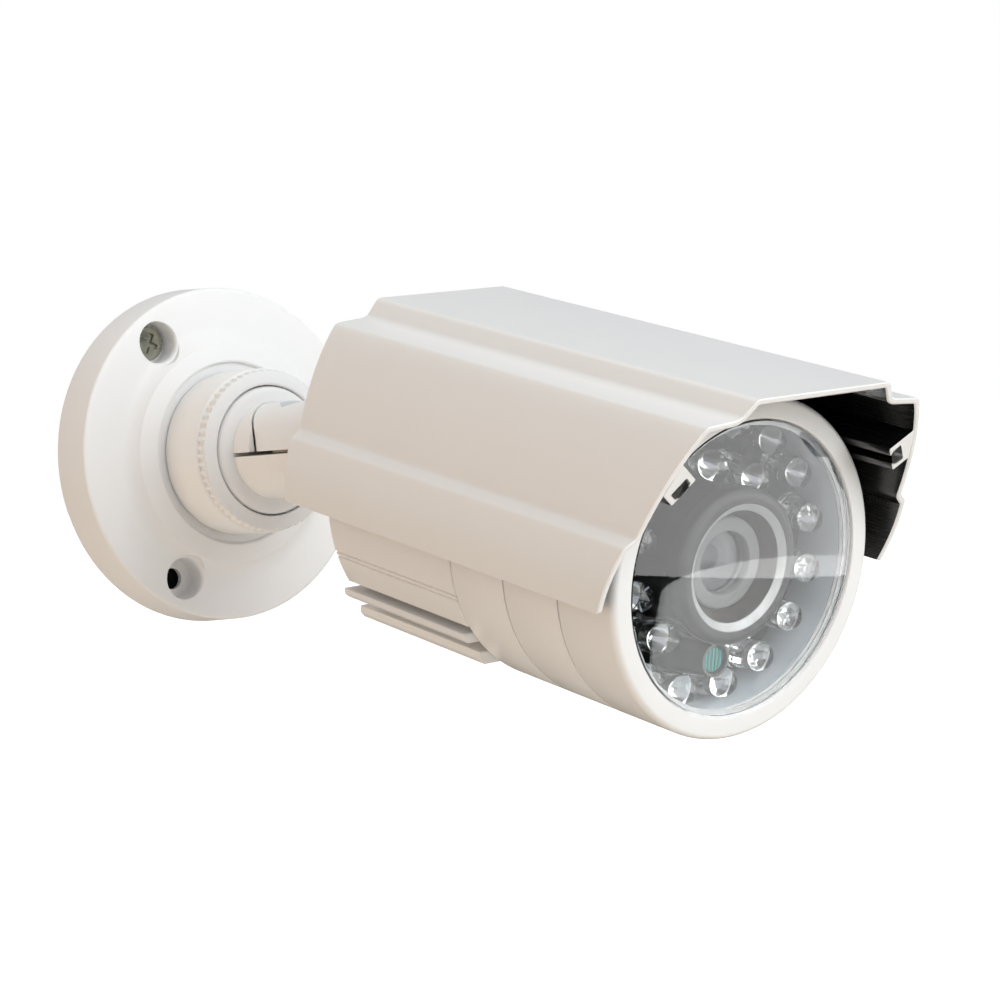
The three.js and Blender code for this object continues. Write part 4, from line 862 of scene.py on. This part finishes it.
BARREL = 30.0
SPIGOT = 27.5
BEZEL_END = 14.15
MIDDLE = (14.45, 28.35)
REAR = (28.65, 42.65)
BODY = (42.95, 78.0)
BODY_BORE = 16.5
GROOVES = ((-12.3, -11.9), (-11.4, -11.0))  # lower and upper edge of each fine groove
GROOVE_DEPTH = 0.42
FIN_SLOT_TOP = -17.3
CAP_SCREW_CIRCLE = 21
CAP_SCREW_ANGLES = (35, 145, 215, 325)
CAP_SCREW = {
    "head_back": 82.7, "head_front": 84.6, "head_radius": 2.2, "shank_radius": 1.3, "shank_end": 70.8,
}
GLAND_Z = -16.7


def front_ring():
    return turned(eased([
        (29.3, 0.0, 0.9), (30, 0.9, 0.6), (30, BEZEL_END, 0.22), (27.8, BEZEL_END), (27.8, 3.4), (24.8, 3.4),
        (24.8, 2.3, 0.1), (26.0, 2.3, 0.1), (26.0, 0.35, 0.1), (26.15, 0.0, 0.15),
    ], closed=True), 180)


def barrel_middle():
    front, end = MIDDLE
    return turned(eased([
        (SPIGOT, 6.3), (SPIGOT, front, 0.1), (BARREL, front, 0.22), (BARREL, end, 0.22), (27.8, end, 0.1),
        (27.8, 21.35), (23.4, 21.35), (23.4, 16.8), (25.6, 16.8), (25.6, 6.3),
    ], closed=True), FINE)


def barrel_rear():
    front, end = REAR
    return turned(eased([
        (SPIGOT, 22.1), (SPIGOT, front, 0.1), (BARREL, front, 0.22), (BARREL, end, 0.22), (22.6, end, 0.1),
        (22.6, 47.05), (19.6, 47.05), (19.6, 40.05), (25.8, 40.05), (25.8, 22.1),
    ], closed=True), FINE)


def groove_points():
    """The housing's round side from the fin slot up to the top, with its two fine grooves."""
    points = []
    start = math.degrees(math.asin(FIN_SLOT_TOP / BARREL))
    for low, high in GROOVES:
        end = math.degrees(math.asin(low / BARREL))
        points += arc(BARREL, start, end, 6)
        middle = (low + high) / 2
        points.append((math.sqrt(BARREL ** 2 - middle ** 2) - GROOVE_DEPTH, middle))
        start = math.degrees(math.asin(high / BARREL))
    return points + arc(BARREL, start, 90, 56)


def rear_body():
    side = groove_points()
    fins = eased([
        (24.5, FIN_SLOT_TOP, 0.25), (17.5, FIN_SLOT_TOP), (17.5, -18.5),
        (25.5, -18.5, 0.3), (25.5, -19.5, 0.3),
        (24.4, -20.4, 0.3), (14.5, -20.4), (14.5, -22.4), (21.6, -22.4, 0.3), (21.6, -23.7, 0.3),
        (20.4, -24.9, 0.4), (0, -24.9),
    ])
    half = list(reversed(side))[:-1] + fins
    outline = half[:-1] + mirrored(half)[1:-1]
    return drawn(outline, *BODY, edge=0.18, bore=BODY_BORE)


RAIL_ANGLE = math.radians(36.9)


def rail_frame(points, side):
    """Points given across a rail and outwards from the axis, on the viewer's left or right side."""
    cosine, sine = math.cos(RAIL_ANGLE), math.sin(RAIL_ANGLE)
    return [(side * (out * cosine - across * sine), out * sine + across * cosine) for across, out in points]


def rails():
    shape = eased([
        (0.75, 29.6, 0), (0.75, 31.3, 0.15), (1.35, 31.3, 0.15), (1.35, 32.3, 0.2), (-1.35, 32.3, 0.2),
        (-1.35, 31.3, 0.15), (-0.75, 31.3, 0.15), (-0.75, 29.6, 0),
    ], closed=True)
    return together(*[drawn(rail_frame(shape, side), *BODY) for side in (-1, 1)])


def cap_screw_place(angle):
    turn = math.radians(angle)
    return CAP_SCREW_CIRCLE * math.cos(turn), CAP_SCREW_CIRCLE * math.sin(turn)


def rear_cap():
    profile = eased([
        (0, 80.6), (18.6, 80.6), (18.6, 78.8), (24.4, 78.8, 0.2), (24.4, CAP_END, 0.9), (13, CAP_END, 0.6),
        (11, CAP_END + 0.6, 0.6), (11, BOSS_END, 0.5), (0, BOSS_END),
    ])
    gland_hole = moved(rod(2.2, 78, 86, COARSE), Matrix.Translation((0, 0, GLAND_Z)))
    cuts = [rod(STUD_BORE, 81, 90, 48), gland_hole]
    sunk_hole = [(0, 77), (1.6, 77), (1.6, 82.4), (2.5, 82.4), (2.5, 84.5), (2.8, 85.2), (0, 85.2)]
    cuts += [turned(sunk_hole, COARSE, *cap_screw_place(angle)) for angle in CAP_SCREW_ANGLES]
    return carved(turned(profile, FINE), cut=cuts)


def gland():
    collar = drawn(eased(hexagon(4.3), 0.3, closed=True), 85.1, 88.0, edge=0.2)
    sleeve = turned(eased([(0, 87), (3.6, 87), (3.6, 93.4, 0.3), (3.0, 94.6, 0.3), (0, 94.6)]), 48)
    whole = carved(collar, add=[sleeve], cut=[rod(2.8, 80, 100, 40)])
    return moved(whole, Matrix.Translation((0, 0, GLAND_Z)))


tipped("front_ring", front_ring(), white_enamel, "white_paint", ["front_bezel"])
tipped("barrel_section_middle", barrel_middle(), white_enamel, "white_paint", ["barrel_middle"])
tipped("barrel_section_rear", barrel_rear(), white_enamel, "white_paint", ["barrel_rear"])
tipped("finned_body", rear_body(), white_enamel, "white_paint", ["rear_body"])
tipped("shield_rails", rails(), white_enamel, "white_paint")
tipped("end_cap", rear_cap(), cast_enamel, "white_paint", ["rear_cap"])
for number, angle in enumerate(CAP_SCREW_ANGLES, 1):
    screw = cross_head_screw(cap_screw_place(angle), **CAP_SCREW, toward=1)
    tipped(f"cap_screw_{number}", screw, plated_steel, "bright_steel", [f"rear_cap_screw_{number}"])
tipped("gland_nut", gland(), black_moulding, "black_plastic", ["cable_gland"])

# ------------------------------------------------------------------ behind the window

WINDOW = (0.3, 1.8)  # front and back face
WINDOW_RADIUS = 25.7
BOARD_FRONT = 14.9
BOARD_RADIUS = 25
HOOD_OUTER = 13.6
HOOD_TUBE = 11.5
ELEMENT_RADIUS = 2.2
FRONT_GLASS_RADIUS = 5.2
LAMP_RADIUS = 2.5
LAMP_TIP = 6.3
LEAD_SPACING = 2.2
SENSOR_Z = -16.8
CUP_RADII = (24.8, 25.3)


def window():
    front, back = WINDOW
    edge = [(WINDOW_RADIUS, front, 0.15), (WINDOW_RADIUS, back, 0.1)]
    return turned(eased([(0, front), *edge, (0, back)]), FINE)


HOOD_BEVEL = (9.75, 11.15)  # inner and outer radius of the hood's inner edge, painted light grey as the sheen it catches


def hood():
    inner, outer = HOOD_BEVEL
    return turned(eased([
        (inner, 3.0, 0.1), (outer, 2.15, 0.15), (12.5, 2.1, 0.5),
        (HOOD_OUTER, 2.9, 0.4), (HOOD_OUTER, 4.6, 0.3),
        (HOOD_TUBE, 5.4, 0.5), (HOOD_TUBE, 14.6), (9.1, 14.6), (8.2, 13.4), (8.2, 5.5, 0.1), (9.3, 3.5, 0.2),
    ], closed=True), 120)


def hood_sides(face):
    """The hood is black outside, painted light grey on its inner edge for the sheen it catches, and dull dark
    in its cone.
    """
    centre = TIPPED.inverted() @ (face.calc_center_median() / MM)
    radius = math.hypot(centre.x, centre.z)
    if radius < HOOD_BEVEL[0]:
        return 2
    return 1 if radius < HOOD_BEVEL[1] and centre.y < 3.2 else 0


def lens_front():
    """The lens barrel: a wide front seat for the glass and a narrower tube behind it."""
    return turned(eased([
        (5.3, 5.9), (5.5, 5.4, 0.15), (7.6, 5.4, 0.2), (7.9, 5.7, 0.1), (7.9, 12), (6, 12), (6, 22.2),
        (3.2, 22.2), (3.2, 10.4), (5.3, 8.9),
    ], closed=True), 96)


def lens_step():
    """Stepped inner rings seen through the front glass."""
    return turned(eased([
        (2.1, 9.2), (3.4, 9.0, 0.1), (5.0, 8.4, 0.1), (5.0, 8.9), (3.4, 9.6), (2.1, 9.8),
    ], closed=True), 72)


def inner_element():
    curve = [(ELEMENT_RADIUS * math.sin(a), 9.9 - 1.1 * math.cos(a)) for a in quarter(6)]
    return turned(curve + [(ELEMENT_RADIUS, 10.3), (0, 10.3)], 48)


def lens_glass():
    crown = [(FRONT_GLASS_RADIUS * i / 10, 5.95 + 0.8 * (i / 10) ** 2 - 0.05) for i in range(11)]
    back = [(4.6 * (10 - i) / 10, 7.9 - 0.5 * (i / 10)) for i in range(11)]
    return turned(crown + [(FRONT_GLASS_RADIUS, 8.0)] + back, 96)


def lamp_lens():
    """A clear moulded lamp: domed end, straight sides and a flange at the board."""
    middle = LAMP_TIP + LAMP_RADIUS
    dome = [(LAMP_RADIUS * math.sin(a), middle - LAMP_RADIUS * math.cos(a)) for a in quarter(8)]
    return turned(dome + [(LAMP_RADIUS, 13.2), (2.75, 13.3), (2.75, 14.1), (0, 14.1)], 28)


def lamp_inside():
    """The silvered cup with its post and anvil inside a lamp, and the leads to the board."""
    cup = turned([
        (0, 10.6), (0.45, 10.6), (1.45, 9.45), (1.6, 9.5), (1.5, 10.9), (0.5, 11.6), (0.5, 14.0), (0, 14.0),
    ], 20)
    anvil = block((0.9, 1.5), (9.9, 14.0), (-0.45, 0.45))
    whisker = block((-0.1, 1.2), (9.75, 9.9), (-0.08, 0.08))
    leads = [
        moved(rod(0.28, 13.9, 15.0, 8), Matrix.Translation((side * LEAD_SPACING / 2, 0, 0)))
        for side in (-1, 1)
    ]
    return together(cup, anvil, whisker, *leads)


def resistor():
    return block((-0.9, 0.9), (14.35, BOARD_FRONT), (-0.55, 0.55))


OUTER = (16, 22.1, 11.25)  # lamps of a full ring, its radius and the first one's angle
INNER = (10, 15.2, 18)
INNER_EMPTY = (7, 9)  # the light sensor's place and the free one, counted from the first angle


def lamps(maker, material):
    return together(
        ring_of(maker(), material, *OUTER),
        ring_of(maker(), material, *INNER, INNER_EMPTY),
    )


def lamp_board():
    back = BOARD_FRONT + 1.6
    return turned([(8.8, BOARD_FRONT), (BOARD_RADIUS, BOARD_FRONT), (BOARD_RADIUS, back), (8.8, back)], 120)


def board_parts():
    return together(
        ring_of(resistor(), black_moulding, 20, 18.6, 9),
        ring_of(resistor(), black_moulding, 6, 11.6, 0),
    )


def sensor_tube():
    return moved(turned(eased([
        (3.0, 6.2, 0.15), (3.0, 14.6), (2.5, 14.6), (2.5, 6.2, 0.1),
    ], closed=True), 40), Matrix.Translation((0, 0, SENSOR_Z)))


def sensor_disc():
    disc = turned(eased([(0, 6.8), (2.2, 6.8, 0.3), (2.4, 9.2), (0, 9.2)]), 40)
    return moved(disc, Matrix.Translation((0, 0, SENSOR_Z)))


def cup_wall():
    inner, outer = CUP_RADII
    profile = [(outer, 3.7), (outer, 14.6), (inner, 14.6), (inner, 3.7)]
    return turned(eased(profile, 0.05, closed=True), FINE)


front_window = tipped("front_window", window(), window_clear, "window_glass", ["window_glass"])
tipped("lens_hood_ring", hood(), [hood_rubber, painted_sheen_bevel, hood_cone], "black_rubber", ["lens_hood"],
       sides=hood_sides)
tipped("lens_tube", lens_front(), lens_ring_grey, "black_plastic", ["lens_barrel"], body="lens")
tipped("lens_inner_ring", lens_step(), lens_ring_grey, "black_plastic", body="lens")
tipped("lens_inner_glass", inner_element(), lens_clear, "lens_glass", body="lens")
tipped("lens_front_glass", lens_glass(), lens_clear, "lens_glass", ["lens_element"], body="lens")
tipped("lamp_board", lamp_board(), circuit_board, "board_green", ["led_board"])
tipped("lamp_board_parts", board_parts(), black_moulding, "chip_black")
tipped("lamp_lenses", lamps(lamp_lens, epoxy_clear), epoxy_clear, "window_glass")
tipped("lamp_lead_frames", lamps(lamp_inside, lead_frame), lead_frame, "bright_steel")
tipped("sensor_tube", sensor_tube(), black_moulding, "black_plastic", ["photocell_sleeve"])
tipped("sensor_disc", sensor_disc(), sensor_face, "sensor_teal", ["photocell"])
tipped("cup_wall", cup_wall(), cup_grey, "grey_plastic", ["reflector_cup"])

# ------------------------------------------------------------------ sunshield

SHIELD_ENDS = (-1.3, 86.2)
SHIELD_LEAN = (-0.417, -0.053)  # how far each end leans forward for each millimetre up
SHIELD_WALL = 1.1


def shield_half():
    top = eased([
        (0, 33.95), (15.35, 33.95, 0.9), (17.5, 30.9, 0.5), (18.5, 30.48, 0.6), (24.5, 30.0, 0.9),
        (25.3, 29.05),
    ], steps=5)
    side = bezier([(25.3, 29.05), (28.3, 24.4), (30.6, 17.2), (31.2, 10.8)], 20)
    lip = bezier([(33.15, 9.2), (34.8, 3.4), (33.6, -2.8)], 14)
    return top[1:-1] + side[:-1] + eased([side[-2], side[-1], lip[0], lip[1]], 0.5)[1:-1] + lip[1:]


def shield_shell():
    outer = shield_half()
    outer = mirrored(outer) + outer
    inner = offset(outer, SHIELD_WALL, closed=False)
    outline = outer + list(reversed(inner))
    return drawn(outline, *SHIELD_ENDS, edge=0.22, lean=SHIELD_LEAN), outer


def shield_claws():
    shape = eased([
        (1.05, 30.4, 0.12), (2.7, 30.4, 0.3), (2.7, 35.9, 0), (-2.7, 33.9, 0), (-2.7, 30.4, 0.3),
        (-1.05, 30.4, 0.12), (-1.05, 31.05, 0.12), (-1.65, 31.05, 0.12), (-1.65, 32.6, 0.2),
        (1.65, 32.6, 0.2), (1.65, 31.05, 0.12), (1.05, 31.05, 0.12),
    ], closed=True)
    return together(*[
        drawn(rail_frame(shape, side), *SHIELD_ENDS, edge=0.12, lean=SHIELD_LEAN)
        for side in (-1, 1)
    ])


shell, shield_outer = shield_shell()
AXIS = TIPPED.to_3x3() @ Vector((0, 1, 0))


def faces_along(face):
    return abs(face.normal.dot(AXIS)) > 0.5


def shell_sides(face):
    """White outside and on the cut ends, black inside."""
    if faces_along(face):
        return 0
    centre = TIPPED.inverted() @ (face.calc_center_median() / MM)
    here = Vector((centre.x, centre.z))
    reach = min(distance_to_line(here, a, b) for a, b in zip(shield_outer, shield_outer[1:]))
    return 0 if reach < SHIELD_WALL * 0.45 else 1


def distance_to_line(point, a, b):
    a, b = Vector(a), Vector(b)
    along = max(0.0, min(1.0, (point - a).dot(b - a) / max((b - a).length_squared, 1e-9)))
    return (a + (b - a) * along - point).length


def claw_sides(face):
    return 0 if faces_along(face) else 1


tipped("shield_shell", shell, [white_enamel, shield_inner_black], "white_paint", ["sunshield"],
       body="shield", sides=shell_sides, sharp=28)
tipped("shield_claws", shield_claws(), [white_enamel, shield_inner_black], "white_paint", body="shield",
       sides=claw_sides)

# ------------------------------------------------------------------ carried-over CAD pieces

CARRIED = {
    nylon: ["friction_washer"],
    window_seal: ["window_gasket"],
    seal_rubber: ["bezel_o_ring", "rear_gasket", "gland_seal"],
    plated_steel: ["shield_lock_screw"]
    + [f"board_standoff_{i}" for i in range(1, 5)] + [f"board_spacer_{i}" for i in range(1, 5)],
    black_moulding: ["lens_holder", "image_sensor"],
    lens_clear: ["ir_filter"],
    circuit_board: ["sensor_board", "main_board"],
}
for material, names in CARRIED.items():
    for name in names:
        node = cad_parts[name]
        if not node.material_slots:
            node.data.materials.append(material)
        for slot in node.material_slots:
            slot.material = material

# ------------------------------------------------------------------ studio

# Places and sizes in the studio are metres, angles are radians.
FLOOR_Z = -0.30
FLOOR_HALF = 6
TARGET = (0.0, -0.09, 0.0)
LIGHTS = (  # name, place, size, power, colour
    ("key", (0.35, -1.6, 0.55), 1.4, 22, (0.94, 0.985, 1.0)),
    ("top", (0.2, -0.1, 1.6), 1.6, 10.5, (1.0, 0.98, 0.84)),
    ("warm_fill", (-1.5, 0.1, -0.15), 1.1, 9.2, (1.0, 0.73, 0.42)),
)
ROOM_LIGHT = (0.35, 0.355, 0.40, 1)
CAMERA_PLACE = (-0.34305, -0.51859, 0.01674)
CAMERA_AZIMUTH = 0.68369
CAMERA_DOWN = 0.053345
CAMERA_ROLL = -0.109165
FOCAL_LENGTH = 105.5304  # millimetres
FILM_WIDTH = 36  # millimetres

# The bright card's lower edge crosses the window between these two points, which are millimetres
# on the housing before it is tipped.
WINDOW_LEFT = Vector((-25.3, 0.3, 2.2))
WINDOW_RIGHT = Vector((24.3, 0.3, -9.4))
CARD_DISTANCE = 0.52
CARD_GLOW = 4.2
CARD_RISE = Vector((0, -0.47, 0.883))
CARD_HEIGHT = 1.6
CARD_REACH = 0.6  # past each end of the stretch that crosses the window


def flat_card(name, corners, material):
    mesh = bmesh.new()
    mesh.faces.new([mesh.verts.new(corner) for corner in corners])
    data = bpy.data.meshes.new(name)
    mesh.to_mesh(data)
    mesh.free()
    data.materials.append(material)
    thing = bpy.data.objects.new(name, data)
    bpy.context.scene.collection.objects.link(thing)
    return thing


def glow_material(name, color, strength):
    material = bpy.data.materials.new(name)
    material.use_nodes = True
    shader = material.node_tree.nodes["Principled BSDF"]
    shader.inputs["Base Color"].default_value = grey(0.0)
    shader.inputs["Roughness"].default_value = 1.0
    shader.inputs["Specular IOR Level"].default_value = 0.0
    shader.inputs["Emission Color"].default_value = color
    shader.inputs["Emission Strength"].default_value = strength
    return material


def floor_finish():
    """Warm pale paper that looks plain white to the viewer."""
    finish = speckled(
        "floor_paper", (0.86, 0.79, 0.71, 1), (0.84, 0.77, 0.69, 1), shine=0.9, depth=0.05, amount=0.2,
        Specular_IOR_Level=0.0, Emission_Color=grey(1.0),
    )
    path = finish.w.add("ShaderNodeLightPath").outputs
    finish.feed("Emission Strength", path["Is Camera Ray"])
    paper = finish.shader.inputs["Base Color"].links[0].from_socket
    # Mirrored in the window and other glossy surfaces, the floor is painted near black: a painted dark
    # reflection.
    finish.feed("Base Color", finish.w.mix(path["Is Glossy Ray"], paper, grey(0.02)))
    return finish.material


flat_card(
    "floor",
    [(x * FLOOR_HALF, y * FLOOR_HALF, FLOOR_Z) for x, y in ((-1, -1), (1, -1), (1, 1), (-1, 1))],
    floor_finish(),
)


def area_light(name, place, size, power, color):
    light = bpy.data.lights.new(name, "AREA")
    light.shape = "SQUARE"
    light.size = size
    light.energy = power
    light.color = color
    thing = bpy.data.objects.new(name, light)
    thing.location = place
    thing.rotation_euler = (Vector(TARGET) - Vector(place)).to_track_quat("-Z", "Y").to_euler()
    thing.visible_camera = False
    bpy.context.scene.collection.objects.link(thing)


def reflection_card():
    """A bright card that only the window mirrors, so that its straight lower edge crosses the window."""
    normal = (TIPPED.to_3x3() @ Vector((0, -1, 0))).normalized()
    eye = Vector(CAMERA_PLACE)
    edge = []
    for point in (WINDOW_LEFT, WINDOW_RIGHT):
        here = (TIPPED @ point) * MM
        ray = (here - eye).normalized()
        edge.append(here + CARD_DISTANCE * ray.reflect(normal))
    along = (edge[1] - edge[0]).normalized()
    low = [edge[0] - along * CARD_REACH, edge[1] + along * CARD_REACH]
    corners = [*low, low[1] + CARD_RISE * CARD_HEIGHT, low[0] + CARD_RISE * CARD_HEIGHT]
    card = flat_card("reflection_card", corners, glow_material("card_glow", grey(1.0), CARD_GLOW))
    card.visible_camera = False
    card.visible_diffuse = False
    card.visible_shadow = False
    card.visible_volume_scatter = False
    mirrored_in = bpy.data.collections.new("mirrors_the_card")
    mirrored_in.objects.link(front_window)
    card.light_linking.receiver_collection = mirrored_in


reflection_card()
for light in LIGHTS:
    area_light(*light)

world = bpy.data.worlds.new("studio")
bpy.context.scene.world = world
world.use_nodes = True
sky = Wiring(world.node_tree)
backdrop = world.node_tree.nodes["Background"]
seen = sky.add("ShaderNodeLightPath").outputs["Is Camera Ray"]
world.node_tree.links.new(sky.mix(seen, ROOM_LIGHT, grey(1.0)), backdrop.inputs["Color"])
bpy.context.scene.view_settings.view_transform = "Standard"

# ------------------------------------------------------------------ camera

ahead = Vector((
    math.sin(CAMERA_AZIMUTH) * math.cos(CAMERA_DOWN),
    math.cos(CAMERA_AZIMUTH) * math.cos(CAMERA_DOWN),
    -math.sin(CAMERA_DOWN),
))
level_right = ahead.cross(Vector((0, 0, 1))).normalized()
level_up = level_right.cross(ahead)
right = level_right * math.cos(CAMERA_ROLL) + level_up * math.sin(CAMERA_ROLL)
up = right.cross(ahead)
camera_data = bpy.data.cameras.new("view")
camera_data.lens = FOCAL_LENGTH
camera_data.sensor_width = FILM_WIDTH
camera = bpy.data.objects.new("view", camera_data)
bpy.context.scene.collection.objects.link(camera)
camera.matrix_world = Matrix.Translation(CAMERA_PLACE) @ Matrix((right, up, -ahead)).transposed().to_4x4()
bpy.context.scene.camera = camera
